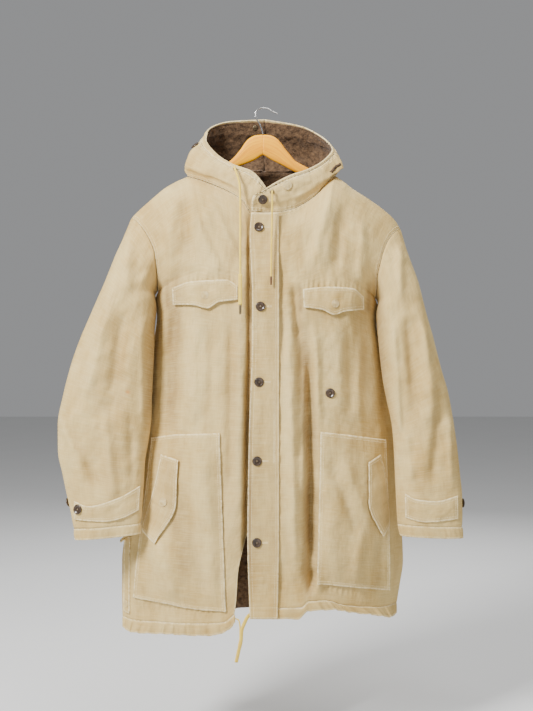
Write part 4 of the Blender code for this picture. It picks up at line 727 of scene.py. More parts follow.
# Painted shade: the near-black of the discs that stand for the buttons' holes
HOLE_SHADE = (0.004, 0.003, 0.002, 1)
BUTTON_THREAD = (0.16, 0.11, 0.06, 1)
SKY = (0.93, 0.94, 0.96, 1)
SKY_STRENGTH = 0.32

# How grey, brown, stained and rubbed the cloth over a press stud is
STUD_WEAR = (0.2, 0.3, 0, 0.35)

LIGHTS = (
    Light("light_key", (-2.0, -2.1, 1.3), (0, 0, -0.6), 0.8, 240.0),
    Light("light_fill", (2.4, -2.2, -0.2), (0, 0, -0.7), 2.0, 20.0),
    Light("light_top", (0.3, -0.5, 1.7), (0, 0, -0.5), 1.2, 40.0),
    Light("light_rim", (0.5, 2.4, 0.8), (0, 0, -0.5), 1.8, 42.0),
)

# The names of a grid's edges, and the way that the front faces
ALL_EDGES = ("first", "last", "end", "start")
FORWARD = np.array([0, -1.0, 0])


def xyz(points):
    """Any rows of three numbers as an array."""
    return np.array([tuple(point) for point in points], dtype=float)


def unit(vectors):
    length = np.linalg.norm(vectors, axis=-1, keepdims=True)
    return vectors / np.maximum(length, 1e-12)


def smooth(knots, values, places):
    """A curve through the values at the knots that never overshoots them."""
    knots = np.asarray(knots, dtype=float)
    values = np.asarray(values, dtype=float)
    step = np.diff(knots)[:, None]
    slope = np.diff(values, axis=0) / step
    tangent = np.zeros_like(values)
    tangent[0] = slope[0]
    tangent[-1] = slope[-1]
    same = slope[:-1] * slope[1:] > 0
    weight = step[:-1] + 2 * step[1:]
    other = 2 * step[:-1] + step[1:]
    safe_low = np.where(same, slope[:-1], 1)
    safe_high = np.where(same, slope[1:], 1)
    mean = (weight + other) / (other / safe_high + weight / safe_low)
    tangent[1:-1] = np.where(same, mean, 0)
    places = np.clip(np.asarray(places, dtype=float), knots[0], knots[-1])
    at = np.clip(np.searchsorted(knots, places, side="right") - 1, 0, len(knots) - 2)
    width = (knots[at + 1] - knots[at])[:, None]
    part = ((places - knots[at]) / width[:, 0])[:, None]
    square = part * part
    cube = square * part
    return (
        values[at] * (2 * cube - 3 * square + 1)
        + values[at + 1] * (3 * square - 2 * cube)
        + tangent[at] * width * (cube - 2 * square + part)
        + tangent[at + 1] * width * (cube - square)
    )


def length_along(points):
    """How far along a line of points each of them is."""
    steps = np.linalg.norm(np.diff(points, axis=0), axis=1)
    return np.concatenate([[0], np.cumsum(steps)])


def along(points, places):
    """Points at the given shares of the length of a smooth curve through the points."""
    points = xyz(points)
    length = length_along(points)
    return smooth(length / length[-1], points, places)


def ease(value):
    value = np.clip(value, 0, 1)
    return value * value * (3 - 2 * value)


def coons(first, last, bottom, top, across, up):
    """The patch between four edges. Its rows go up and its columns go across."""
    across = across[None, :, None]
    up = up[:, None, None] ** TOP_REACH
    sides = (1 - across) * first[:, None] + across * last[:, None]
    ends = (1 - up) * bottom[None] + up * top[None]
    low = (1 - across) * bottom[0] + across * bottom[-1]
    high = (1 - across) * top[0] + across * top[-1]
    return sides + ends - (1 - up) * low - up * high


def beside(fold, x, z):
    """How far down a fold's line and how far aside of it each point is, and the line's length."""
    start = np.array([fold.x_top, fold.z_top])
    way = np.array([fold.x_low, fold.z_low]) - start
    length = np.linalg.norm(way)
    way = way / length
    down = (x - start[0]) * way[0] + (z - start[1]) * way[1]
    aside = (x - start[0]) * way[1] - (z - start[1]) * way[0]
    return down, aside, length


def fold_rise(folds, x, z):
    """How far the folds raise the cloth at each point."""
    rise = np.zeros_like(x)
    for fold in folds:
        down, aside, length = beside(fold, x, z)
        share = down / length
        fade = ease(share / 0.25) * ease((1 - share) / 0.25)
        rise += fold.height * fade * np.exp(-((aside / fold.width) ** 2))
    return rise


def grid_normals(grid, ring, outward):
    """A unit normal at each point of the grid, on the side that outward says for most of them."""
    rows = np.gradient(grid, axis=0)
    if ring:
        columns = np.roll(grid, -1, axis=1) - np.roll(grid, 1, axis=1)
    else:
        columns = np.gradient(grid, axis=1)
    normal = unit(np.cross(rows, columns))
    return normal * np.sign((normal * outward).sum())


def panel_power(up, underarm):
    """How square the body's sections are: rounder at the hem, squarer by the underarm."""
    near = ease(1 - np.abs(up - up[underarm]) / 0.18)
    return PANEL_POWER + (ARMHOLE_POWER - PANEL_POWER) * near


def ring_at(section, shares):
    """A sleeve's ring: the front from the inner edge to the outer, then the back to the inner."""
    inner = np.array([section.inner_x, section.y, section.inner_z])
    outer = np.array([section.outer_x, section.y, section.outer_z])
    over = (1 - np.cos(np.pi * shares)) / 2
    bulge = np.sin(np.pi * shares) ** 0.85
    front = inner + (outer - inner) * over[:, None]
    back = front.copy()
    front[:, 1] -= section.depth * bulge
    back[:, 1] += section.depth * bulge
    return np.concatenate([front, back[::-1][1:-1]])


def hood_half(side, neck, levels):
    """The outer grid of one half of the hood on its points of the neck seam, front to back."""
    spokes = np.array(HOOD[side])
    length = length_along(neck)
    places = length / length[-1]
    parts = smooth(spokes[:, 0], spokes[:, 1:], places)
    away = unit((neck - xyz([NECK_AXIS])) * (1, 1, 0))
    start = neck + away * parts[:, :1] + np.array([0, 0, 1.0]) * parts[:, 1:2]
    stack = np.stack([neck, start, parts[:, 2:5], parts[:, 5:8], parts[:, 8:11]])
    columns = [smooth((0, 0.1, 0.36, 0.7, 1), stack[:, k], levels) for k in range(len(neck))]
    return np.array(columns).transpose(1, 0, 2)


def front_of(surface, x, z):
    """Where a straight line from the front meets the surface, and the normal there."""
    place, normal, _, _ = surface.ray_cast(Vector((x, -1, z)), Vector((0, 1, 0)))
    if place is None:
        place, normal, _, _ = surface.find_nearest(Vector((x, -0.06, z)))
    if normal.y > 0:
        normal = -normal
    return place, normal


def carried_sides(tangent, first):
    """A direction square to the line at each of its points, turned as little as possible."""
    sides = []
    side = np.array(first, dtype=float)
    for way in tangent:
        side = unit(side - way * (side @ way))
        sides.append(side)
    return np.array(sides)


def finer(steps, times=FINE):
    """The steps with each stretch between two of them divided again."""
    parts = [np.linspace(a, b, times, endpoint=False) for a, b in zip(steps[:-1], steps[1:])]
    return np.append(np.concatenate(parts), steps[-1])


SIDE_FINE = finer(SIDE_STEPS + (1,), SIDE_TIMES)[:-1]
ARM_FINE = finer(ARM_STEPS)
NECK_FINE = finer(NECK_STEPS + (1,))[:-1]
SHOULDER_FINE = finer(SHOULDER_STEPS)
BACK_NECK_FINE = finer(BACK_NECK_STEPS)


def spread(values, count):
    """Values given at the solids' columns, at the fine columns between them."""
    return np.interp(np.arange(count) / FINE, np.arange(len(values)), values)


def under_arm(z, top):
    """How far the cloth swells toward its neighbour below the armhole, at each height."""
    depth = np.clip((top - z) / UNDER_ARM_REACH, 0, None)
    return UNDER_ARM_FULL * depth * np.exp(1 - depth)


def outer_edge(side, face):
    """The side seam and the armhole of one side, from the hem up, on the front or the back."""
    low = along(SIDE[side], SIDE_FINE)
    lean = -1 if side == "left" else 1
    low[:, 0] += lean * under_arm(low[:, 2], ARMHOLE_FRONT[side][0][2])
    arm = xyz(ARMHOLE_FRONT[side])
    if face == "back":
        arm[1:, 1] = -arm[1:, 1] * 1.1
    return np.concatenate([low, along(arm, ARM_FINE)])


def rounded(grid, top, profile, bend):
    """The depth of a panel that turns over at its top seam."""
    drop = np.clip((top[None, :, 2] - grid[:, :, 2]) / SHOULDER_ROUND, 0, 1)
    round_off = (1 - (1 - drop) ** 2) ** bend[None, :]
    return top[None, :, 1] + (profile - top[None, :, 1]) * round_off


def front_panel(side):
    """The outer grid of one front, from the hem up and from the centre out."""
    outer = outer_edge(side, "front")
    up = (outer[:, 2] - outer[0, 2]) / (outer[-1, 2] - outer[0, 2])
    centre_line = xyz(CENTRE[side])
    level = (centre_line[:, 2] - centre_line[0, 2]) / (centre_line[-1, 2] - centre_line[0, 2])
    centre = smooth(level, centre_line, up)
    top = np.concatenate([along(NECK[side], NECK_FINE), along(SHOULDER[side], SHOULDER_FINE)])
    across = (top[:, 0] - top[0, 0]) / (top[-1, 0] - top[0, 0])
    bottom = along(HEM_SEAM[side], across)
    grid = coons(centre, outer, bottom, top, across, up)
    power = panel_power(up, len(SIDE_FINE))[:, None]
    profile = outer[:, None, 1] + (centre[:, None, 1] - outer[:, None, 1]) * (
        1 - across[None, :] ** power
    )
    bend = np.concatenate([np.linspace(1, 0.8, len(NECK_STEPS)), np.full(len(SHOULDER_STEPS), 0.5)])
    bend[len(NECK_STEPS)] = 0.9
    depth = rounded(grid, top, profile, spread(bend, len(top)) * (1 - across**8))
    low = ease(up / 0.16)[:, None]
    depth = bottom[None, :, 1] * (1 - low) + depth * low
    mask = ease((1 - across) / 0.14)[None, :] * ease(up / 0.05)[:, None]
    mask = mask * ease((1 - up) / 0.08)[:, None]
    x, z = grid[:, :, 0], grid[:, :, 2]
    rise = fold_rise(FRONT_FOLDS[side], x, z) + CREASE_TIMES * fold_rise(CREASES[side], x, z)
    seed = 11 if side == "left" else 12
    rise += 0.0021 * crumple(x, z * 0.6, 0.075, seed) + 0.0010 * crumple(x, z * 0.7, 0.030, seed + 5)
    rise += 0.0004 * crumple(x, z, 0.014, seed + 8)
    rise += puckers(PUCKERS[side], x, z)
    grid[:, :, 1] = depth - mask * rise
    grid[:, -1] = outer
    grid[-1] = top
    grid[0] = bottom
    grid[0, -1] = outer[0]
    return grid


def back_panel():
    """The outer grid of the back, from the hem up and from the left side to the right."""
    left = outer_edge("left", "back")
    right = outer_edge("right", "back")
    up = (left[:, 2] - left[0, 2]) / (left[-1, 2] - left[0, 2])
    shoulder_left = along(SHOULDER["left"], SHOULDER_FINE)[::-1]
    shoulder_right = along(SHOULDER["right"], SHOULDER_FINE)
    neck = along(BACK_NECK, BACK_NECK_FINE)
    top = np.concatenate([shoulder_left[:-1], neck, shoulder_right[1:]])
    across = (top[:, 0] - top[0, 0]) / (top[-1, 0] - top[0, 0])
    bottom = left[0] + (right[0] - left[0]) * across[:, None]
    bottom[:, 2] += BACK_HEM_RISE * (1 - (2 * across - 1) ** 2)
    grid = coons(left, right, bottom, top, across, up)
    seam = left[:, None, 1] * (1 - across) + right[:, None, 1] * across
    power = panel_power(up, len(SIDE_FINE))[:, None]
    full = 1 - np.abs(2 * across - 1)[None, :] ** power
    profile = seam + (BACK_DEPTH - seam) * full
    shoulder = len(SHOULDER_STEPS) - 1
    bend = np.full(2 * shoulder + len(BACK_NECK_STEPS), 1.0)
    bend[:shoulder] = 0.5
    bend[-shoulder:] = 0.5
    bend[[shoulder, -shoulder - 1]] = 0.65
    bend[[shoulder + 1, -shoulder - 2]] = 0.85
    edge = np.abs(2 * across - 1) ** 8
    depth = rounded(grid, top, profile, spread(bend, len(top)) * (1 - edge))
    mask = ease((1 - np.abs(2 * across - 1)) / 0.14)[None, :] * ease(up / 0.05)[:, None]
    mask = mask * ease((1 - up) / 0.10)[:, None]
    x, z = grid[:, :, 0], grid[:, :, 2]
    rise = fold_rise(BACK_FOLDS + BACK_CREASES, x, z)
    rise += 0.0020 * crumple(x, z * 0.6, 0.085, 21) + 0.0010 * crumple(x, z * 0.7, 0.032, 22)
    grid[:, :, 1] = depth + mask * rise
    grid[:, 0] = left
    grid[:, -1] = right
    grid[-1] = top
    return grid


def crumple(x, z, size, seed):
    """Irregular soft dents of about this size, between about -1 and 1."""
    chance = np.random.default_rng(seed)
    total = np.zeros_like(x)
    for _ in range(8):
        angle = chance.uniform(0, math.pi)
        pace = 2 * math.pi / size * chance.uniform(0.6, 1.5)
        phase = chance.uniform(0, 2 * math.pi, 2)
        way = x * math.cos(angle) + z * math.sin(angle)
        aside = z * math.cos(angle) - x * math.sin(angle)
        total += np.sin(pace * way + phase[0] + 1.1 * np.sin(pace * 0.6 * aside + phase[1]))
    return total / 5


def puckers(rows, x, z):
    """Short creases square to each sewn line, fading away from it."""
    rise = np.zeros_like(x)
    for row in rows:
        down, aside, length = beside(row, x, z)
        inside = ease(down / 0.01) * ease((length - down) / 0.01)
        wave = np.sin(down * 2 * math.pi / 0.0105 + 1.7 * np.sin(down * 61))
        rise += row.height * inside * wave * np.exp(-((aside / row.width) ** 2))
    return rise


def hem_band(row, edge, gathers, facing):
    """The hem's tunnel below a panel's last row, with its gathers."""
    share = np.linspace(0, 1, 3 * FINE)
    place = np.linspace(0, 1, len(row))
    turn = place * math.pi * gathers
    wave = np.cos(turn + 0.5 * np.sin(3.1 * turn)) + 0.35 * np.sin(2.3 * turn)
    rows = []
    for part in share:
        line = row + (edge - row) * part
        line[:, 1] += facing * 0.0022 * wave * math.sin(part * math.pi * 0.75) ** 0.8
        line[:, 1] += facing * 0.0012 * math.sin(part * math.pi)
        line[:, 2] += 0.0012 * wave * part * ease(place / 0.03) * ease((1 - place) / 0.03)
        rows.append(line)
    return np.array(rows)


def sleeve_grid(side):
    """The outer grid of a sleeve from the armhole down. Its columns go round it."""
    arm = len(ARM_FINE)
    front = outer_edge(side, "front")[-arm:]
    back = outer_edge(side, "back")[-arm:]
    loop = np.concatenate([front, back[::-1][1:-1]])
    even = np.linspace(0, 1, arm)
    sections = np.array(SLEEVE[side])
    places = finer(range(len(sections)))
    table = smooth(np.arange(len(sections)), sections, places)
    rest = loop - ring_at(Section(*sections[0]), even)
    seed = 31 if side == "left" else 32
    rings = [loop]
    for number, row in zip(places[1:], table[1:]):
        section = Section(*row)
        ring = ring_at(section, even) + rest * (1 - ease(number / 5))
        span = section.outer_x - section.inner_x
        inner = np.clip(1 - (ring[:, 0] - section.inner_x) / span, 0, 1) ** 3
        swell = under_arm(ring[:, 2], ARMHOLE_FRONT[side][0][2])
        ring[:, 0] -= np.sign(span) * inner * swell * ease(number / 3)
        x, z = ring[:, 0].copy(), ring[:, 2].copy()
        facing = ease((section.y - ring[:, 1]) / 0.02)
        folds = fold_rise(SLEEVE_FOLDS[side], x, z) + CREASE_TIMES * fold_rise(SLEEVE_CREASES[side], x, z)
        small = 0.0024 * crumple(x, z, 0.070, seed) + 0.0011 * crumple(x, z, 0.030, seed + 5)
        behind = ease((ring[:, 1] - section.y) / 0.02)
        fade = ease(number / 1.5)
        ring[:, 1] -= fade * facing * (folds + small)
        ring[:, 1] += fade * behind * (folds * 0.6 + small)
        rings.append(ring)
    return np.array(rings)


def new_object(name, data, *materials):
    """An object of the scene with this mesh, curve, camera or light."""
    for material in materials:
        data.materials.append(material)
    made = bpy.data.objects.new(name, data)
    bpy.context.scene.collection.objects.link(made)
    return made


def smooth_mesh(name, points, faces):
    """A mesh of these points and faces, shaded smooth."""
    mesh = bpy.data.meshes.new(name)
    mesh.from_pydata(points, [], faces)
    mesh.update()
    mesh.polygons.foreach_set("use_smooth", np.ones(len(faces), dtype=bool))
    return mesh


def points_of(mesh):
    """The places of a mesh's points."""
    place = np.empty(len(mesh.vertices) * 3)
    mesh.vertices.foreach_get("co", place)
    return place.reshape(-1, 3)


def set_map(mesh, places):
    """Gives a mesh its map in metres, from the flat place of each of its points."""
    layer = mesh.uv_layers.new(name="cloth")
    corner = np.empty(len(mesh.loops), dtype=np.int32)
    mesh.loops.foreach_get("vertex_index", corner)
    layer.data.foreach_set("uv", places[corner].astype(np.float32).reshape(-1))


def set_wear_and_shade(mesh, wear_and_shade):
    """Stores how grey, brown, stained and rubbed each point of a mesh is; on the shells the grey holds a
    painted highlight on fold ridges and the brown holds painted shade.
    """
    layer = mesh.color_attributes.new("wear_and_shade", "FLOAT_COLOR", "POINT")
    layer.data.foreach_set("color", wear_and_shade.astype(np.float32).reshape(-1))


def wall_mesh(name, outer, thickness, ring=False, facing=None):
    """A thin closed shell behind the outer grid, with a map in metres."""
    rows, columns = outer.shape[:2]
    if facing is None:
        facing = outer - outer.mean(axis=1, keepdims=True)
    normal = grid_normals(outer, ring, facing)
    inner = outer - normal * thickness
    points = np.concatenate([outer.reshape(-1, 3), inner.reshape(-1, 3)])
    shift = rows * columns
    last = columns if ring else columns - 1
    r, k = np.meshgrid(np.arange(rows - 1), np.arange(last), indexing="ij")
    a = r * columns + k
    b = r * columns + (k + 1) % columns
    c, d = b + columns, a + columns
    quads = np.stack([a, b, c, d], axis=-1).reshape(-1, 4)
    back_quads = quads[:, ::-1] + shift
    border = []
    for row, flip in ((0, False), (rows - 1, True)):
        k = np.arange(last)
        a = row * columns + k
        b = row * columns + (k + 1) % columns
        quad = np.stack([b, a, a + shift, b + shift], axis=-1)
        border.append(quad[:, ::-1] if flip else quad)
    if not ring:
        for column, flip in ((0, True), (columns - 1, False)):
            r = np.arange(rows - 1)
            a = r * columns + column
            quad = np.stack([a + columns, a, a + shift, a + columns + shift], axis=-1)
            border.append(quad[:, ::-1] if flip else quad)
    faces = np.concatenate([quads, back_quads] + border)
    first = points[quads[:, 0]]
    cross = np.cross(points[quads[:, 1]] - first, points[quads[:, 2]] - first)
    if (cross * normal.reshape(-1, 3)[quads[:, 0]]).sum() < 0:
        faces = faces[:, ::-1]
    mesh = smooth_mesh(name, points.tolist(), faces.tolist())
    across = np.linalg.norm(np.diff(outer, axis=1), axis=2).mean(axis=0)
    down = np.linalg.norm(np.diff(outer, axis=0), axis=2).mean(axis=1)
    u = np.concatenate([[0], np.cumsum(across)])
    v = np.concatenate([[0], np.cumsum(down)])
    local = np.arange(len(points)) % shift
    set_map(mesh, np.stack([u[local % columns], v[local // columns]], axis=1))
    return new_object(name, mesh), normal


def paint(obj, rub):
    """Works out how grey, brown, stained and rubbed each point of a shell is, with a painted highlight on
    fold ridges and painted shade in fold valleys and the listed dark lines.
    """
    place = points_of(obj.data)
    x, z = place[:, 0], place[:, 2]
    front = ease((0.03 - place[:, 1]) / 0.03)
    uneven = 0.5 + 0.5 * crumple(x, z, 0.110, 41)
    rise = sum(fold_rise(CREASES[side] + SLEEVE_CREASES[side] + FRONT_FOLDS[side], x, z)
               for side in ("left", "right")) * front
    grey_and_highlight = fold_rise(FADES, x, z) * front + 0.28 * uneven * (1 - front * 0.3)
    # Painted highlight: the ridges of the folds are painted paler
    grey_and_highlight = np.clip(grey_and_highlight + RIDGE_HIGHLIGHT * np.clip(rise / FOLD_FULL, 0, 1), 0, 1)
    # Painted shade: the fold valleys and the listed dark lines are painted browner
    brown_and_shade = fold_rise(SHADE_AND_BROWNS, x, z) * front + VALLEY_SHADE * np.clip(-rise / FOLD_FULL, 0, 1)
    brown_and_shade = np.clip(brown_and_shade * (1 - 0.5 * grey_and_highlight), 0, 1)
    stain = np.clip(fold_rise(STAINS, x, z) * front * 1.5, 0, 1)
    rubbed = np.concatenate([rub.reshape(-1), rub.reshape(-1)])
    set_wear_and_shade(obj.data, np.stack([grey_and_highlight, brown_and_shade, stain, np.clip(rubbed, 0, 1)], axis=1))


def edge_distance(grid):
    """How far each point of a grid is from each of its four edges, along its rows or columns."""
    across = np.linalg.norm(np.diff(grid, axis=1), axis=2)
    across = np.concatenate([np.zeros((len(grid), 1)), np.cumsum(across, axis=1)], axis=1)
    down = np.linalg.norm(np.diff(grid, axis=0), axis=2)
    down = np.concatenate([np.zeros((1, grid.shape[1])), np.cumsum(down, axis=0)], axis=0)
    return {
        "first": across,
        "last": across[:, -1:] - across,
        "start": down,
        "end": down[-1:] - down,
    }


def edge_rub(grid, edges, reach=0.0022, strength=0.9):
    """How rubbed a panel is beside the named edges of its grid."""
    distance = edge_distance(grid)
    rub = np.zeros(grid.shape[:2])
    for edge in edges:
        rub = np.maximum(rub, strength * np.exp(-((distance[edge] / reach) ** 2)))
    return rub


def edge_puckers(grid, edges, depth, reach=0.008, pitch=0.0075, seed=1):
    """Small gathers square to the named edges, as a sewn and washed seam draws them up."""
    distance = edge_distance(grid)
    chance = np.random.default_rng(seed)
    rise = np.zeros(grid.shape[:2])
    for edge in edges:
        run = distance["start"] if edge in ("first", "last") else distance["first"]
        phase = chance.uniform(0, 6)
        wave = np.sin(run * 2 * math.pi / pitch + 1.6 * np.sin(run * 47 + phase) + phase)
        rise += depth * wave * np.exp(-((distance[edge] / reach) ** 2))
    return rise


def sink(grid, normal, edges, depth=0.0009, reach=0.0030):
    """The grid drawn in a little along its sewn edges, so that each seam is a fine groove."""
    distance = edge_distance(grid)
    drop = np.zeros(grid.shape[:2])
    for edge in edges:
        drop = np.maximum(drop, depth * np.exp(-((distance[edge] / reach) ** 2)))
    return grid - normal * drop[:, :, None]


def inset_line(grid, edge, inset):
    """A line of points at this distance inside one edge of a grid."""
    lines = {
        "first": grid,
        "last": grid[:, ::-1],
        "start": grid.transpose(1, 0, 2),
        "end": grid[::-1].transpose(1, 0, 2),
    }[edge]
    points = []
    for line in lines:
        length = length_along(line)
        place = min(inset, length[-1])
        points.append([np.interp(place, length, line[:, axis]) for axis in range(3)])
    return np.array(points)


class Stitches:
    """Collects the stitches of all seams, to be made as one piece."""

    def __init__(self):
        self.points = []
        self.faces = []

    def sew(self, path, surface, lift=0.0003, trim=0.002):
        """Adds a row of stitches along a path that lies on a surface whose faces face out."""
        length = length_along(path)
        total = length[-1] - 2 * trim
        if total < STITCH_PITCH:
            return
        count = int(total / STITCH_PITCH)
        starts = trim + (np.arange(count) + 0.2) * total / count
        for start in starts:
            ends = [start, start + STITCH_LENGTH]
            a, b = [np.array([np.interp(e, length, path[:, i]) for i in range(3)]) for e in ends]
            self.one((a + b) / 2, unit(b - a), STITCH_LENGTH, surface, lift)

    def close(self, path, surface):
        """Adds short stitches square to a path, close together, as round a buttonhole."""
        tangent = unit(np.gradient(path, axis=0))
        for place, way in zip(path, tangent):
            self.one(place, unit(np.cross(way, (0, 1, 0))), 0.0016, surface, 0.0003)

    def one(self, middle, along_it, length, surface, lift):
        """Adds one stitch, a small ridge that dips into the cloth at both ends."""
        place, normal, _, _ = surface.find_nearest(Vector(middle))
        normal = np.array(normal)
        side = unit(np.cross(along_it, normal))
        middle = np.array(place) + normal * lift
        half = along_it * length / 2
        wide = side * STITCH_WIDTH / 2
        base = len(self.points)
        self.points += [
            middle - half - normal * lift * 2,
            middle - wide,
            middle + normal * STITCH_RISE,
            middle + wide,
            middle + half - normal * lift * 2,
        ]
        for first, second in ((1, 2), (2, 3), (3, 1)):
            self.faces.append((base, base + second, base + first))
            self.faces.append((base + 4, base + first, base + second))

    def make(self, name, material):
        mesh = bpy.data.meshes.new(name)
        mesh.from_pydata([tuple(point) for point in self.points], [], self.faces)
        mesh.update()
        return new_object(name, mesh, material)


class Shader:
    """A short way to set and join the nodes of one material."""

    def __init__(self, name):
        self.material = bpy.data.materials.new(name)
        self.material.use_nodes = True
        self.tree = self.material.node_tree
        self.shader = self.tree.nodes["Principled BSDF"]

    def add(self, kind, **values):
        """A node of this kind, with its properties and its unlinked sockets set by name."""
        node = self.tree.nodes.new(kind)
        for name, value in values.items():
            if hasattr(node, name):
                setattr(node, name, value)
            else:
                node.inputs[name.replace("_", " ")].default_value = value
        return node

    def link(self, source, target):
        self.tree.links.new(source, target)

    def place(self):
        return self.add("ShaderNodeTexCoord").outputs["Object"]

    def cloth_map(self):
        return self.add("ShaderNodeUVMap", uv_map="cloth").outputs["UV"]

    def finish(self, colour, bump=None, **values):
        """The material, with its colour, its bump and the shader's own plain values."""
        self.link(colour, self.shader.inputs["Base Color"])
        if bump:
            self.link(bump.outputs["Normal"], self.shader.inputs["Normal"])
        for name, value in values.items():
            self.shader.inputs[name.replace("_", " ")].default_value = value
        return self.material

    def mix(self, share, first, second):
        """A colour between two others. Each may be a socket or a plain colour."""
        node = self.tree.nodes.new("ShaderNodeMix")
        node.data_type = "RGBA"
        for socket, value in ((node.inputs[0], share), (node.inputs[6], first), (node.inputs[7], second)):
            if isinstance(value, bpy.types.NodeSocket):
                self.link(value, socket)
            else:
                socket.default_value = value
        return node.outputs[2]

    def math(self, operation, first, second):
        node = self.tree.nodes.new("ShaderNodeMath")
        node.operation = operation
        for socket, value in zip(node.inputs, (first, second)):
            if isinstance(value, bpy.types.NodeSocket):
                self.link(value, socket)
            else:
                socket.default_value = value
        return node.outputs[0]

    def times(self, first, second):
        return self.math("MULTIPLY", first, second)

    def ramp(self, source, low, high):
        """The source stretched so that low becomes 0 and high becomes 1."""
        node = self.add("ShaderNodeMapRange", From_Min=low, From_Max=high)
        self.link(source, node.inputs["Value"])
        return node.outputs["Result"]

    def tint(self, base, mask, low, high, share, colour):
        """The base with a share of another colour where the mask rises from low to high."""
        return self.mix(self.times(self.ramp(mask, low, high), share), base, colour)

    def shine(self, source, low, high):
        """Lets the source set the roughness between low and high."""
        node = self.add("ShaderNodeMapRange", To_Min=low, To_Max=high)
        self.link(source, node.inputs["Value"])
        self.link(node.outputs["Result"], self.shader.inputs["Roughness"])

    def bump(self, height, strength, distance, under=None):
        """A bump of this height, over another bump where one is given."""
        node = self.add("ShaderNodeBump", Strength=strength, Distance=distance)
        self.link(height, node.inputs["Height"])
        if under:
            self.link(under.outputs["Normal"], node.inputs["Normal"])
        return node

    def stretched(self, source, scale):
        node = self.add("ShaderNodeMapping")
        node.inputs["Scale"].default_value = scale
        self.link(source, node.inputs["Vector"])
        return node.outputs["Vector"]

    def noise(self, source, scale, detail=3.0, roughness=0.55):
        node = self.add("ShaderNodeTexNoise", Scale=scale, Detail=detail, Roughness=roughness)
        self.link(source, node.inputs["Vector"])
        return node.outputs["Fac"]


def cloth_material():
    """Washed cotton sateen: an uneven sand colour, slubs across, rubbed edges and a fine weave, with painted
    shade in the fold valleys and a painted highlight on their ridges.
    """
    s = Shader("cloth_sand")
    place = s.place()
    threads = s.cloth_map()
    wear_and_shade = s.add("ShaderNodeAttribute", attribute_name="wear_and_shade")
    parts = s.add("ShaderNodeSeparateColor")
    s.link(wear_and_shade.outputs["Color"], parts.inputs["Color"])
    cloud = s.noise(place, 9.0, 4.0, 0.6)
    patch = s.noise(place, 34.0, 5.0, 0.65)
    slub = s.noise(s.stretched(threads, (22, 420, 1)), 1.0, 3.0, 0.6)
    warp = s.noise(s.stretched(threads, (520, 30, 1)), 1.0, 3.0, 0.6)
    fleck = s.noise(threads, 900.0, 2.0, 0.7)
    # The grey carries the fade and a painted highlight on fold ridges; the brown carries painted shade in
    # fold valleys and the listed dark lines
    grey_and_highlight = s.times(parts.outputs["Red"], s.ramp(patch, 0.25, 0.62))
    brown_and_shade = s.times(parts.outputs["Green"], s.times(s.ramp(patch, -0.2, 0.55), 0.85))
    streak = s.noise(s.stretched(threads, (30, 7, 1)), 1.0, 4.0, 0.6)
    base = s.tint(SAND, cloud, 0.34, 0.64, 0.55, GREY)
    base = s.tint(base, streak, 0.40, 0.66, 0.38, GREY)
    base = s.tint(base, streak, 0.52, 0.30, 0.20, BROWN)
    base = s.mix(s.times(grey_and_highlight, 0.8), base, GREY)
    base = s.mix(brown_and_shade, base, BROWN)
    base = s.tint(base, patch, 0.45, 0.8, 0.16, BROWN)
    base = s.mix(s.times(parts.outputs["Blue"], 0.8), base, STAIN)
    worn = s.noise(place, 150.0, 2.0, 0.6)
    rub = s.times(wear_and_shade.outputs["Alpha"], s.ramp(worn, 0.32, 0.58))
    base = s.mix(s.times(rub, 0.75), base, RUBBED)
    base = s.tint(base, slub, 0.42, 0.66, 0.13, RUBBED)
    base = s.tint(base, warp, 0.45, 0.70, 0.14, BROWN)
    weave = s.math("ADD", s.times(slub, 0.6), s.times(warp, 0.4))
    weave = s.math("ADD", weave, s.times(fleck, 0.35))
    drape = s.noise(s.stretched(threads, (48, 13, 1)), 1.0, 4.0, 0.6)
    broad = s.bump(drape, 0.5, 0.0045)
    coarse = s.bump(patch, 0.6, 0.0025, broad)
    fine = s.bump(weave, 0.7, 0.0006, coarse)
    return s.finish(base, fine, Roughness=0.82, Specular_IOR_Level=0.25, Sheen_Weight=0.12,
                    Sheen_Tint=RUBBED, Sheen_Roughness=0.5)


def pile_material():
    """Deep brown wool pile, matted in clumps."""
    s = Shader("pile_brown")
    place = s.place()
    clump = s.noise(place, 130.0, 4.0, 0.7)
    hair = s.noise(place, 700.0, 3.0, 0.7)
    colour = s.mix(s.ramp(clump, 0.30, 0.68), PILE_DARK, PILE_LIGHT)
    colour = s.tint(colour, hair, 0.4, 0.7, 0.35, PILE_LIGHT)
    fine = s.bump(hair, 0.9, 0.0012, s.bump(clump, 0.9, 0.004))
    return s.finish(colour, fine, Roughness=0.95, Specular_IOR_Level=0.1, Sheen_Weight=0.12,
                    Sheen_Roughness=0.6)


def thread_material():
    """Pale sewing thread, lighter where its twist catches the light."""
    s = Shader("thread_pale")
    twist = s.noise(s.place(), 1500.0, 2.0, 0.5)
    return s.finish(s.mix(s.ramp(twist, 0.3, 0.7), THREAD, RUBBED), Roughness=0.7)


def cord_material(name, light, dark, pitch):
    """Braided cord, with soiled places along it."""
    s = Shader(name)
    place = s.place()
    braid = s.add("ShaderNodeTexWave", Scale=pitch, Distortion=1.5, Detail=1.0)
    braid.bands_direction = "DIAGONAL"
    s.link(place, braid.inputs["Vector"])
    soil = s.noise(place, 60.0, 3.0, 0.6)
    colour = s.tint(light, soil, 0.45, 0.75, 0.55, dark)
    colour = s.mix(s.times(braid.outputs["Fac"], 0.25), colour, dark)
    return s.finish(colour, s.bump(braid.outputs["Fac"], 0.6, 0.0005), Roughness=0.8)


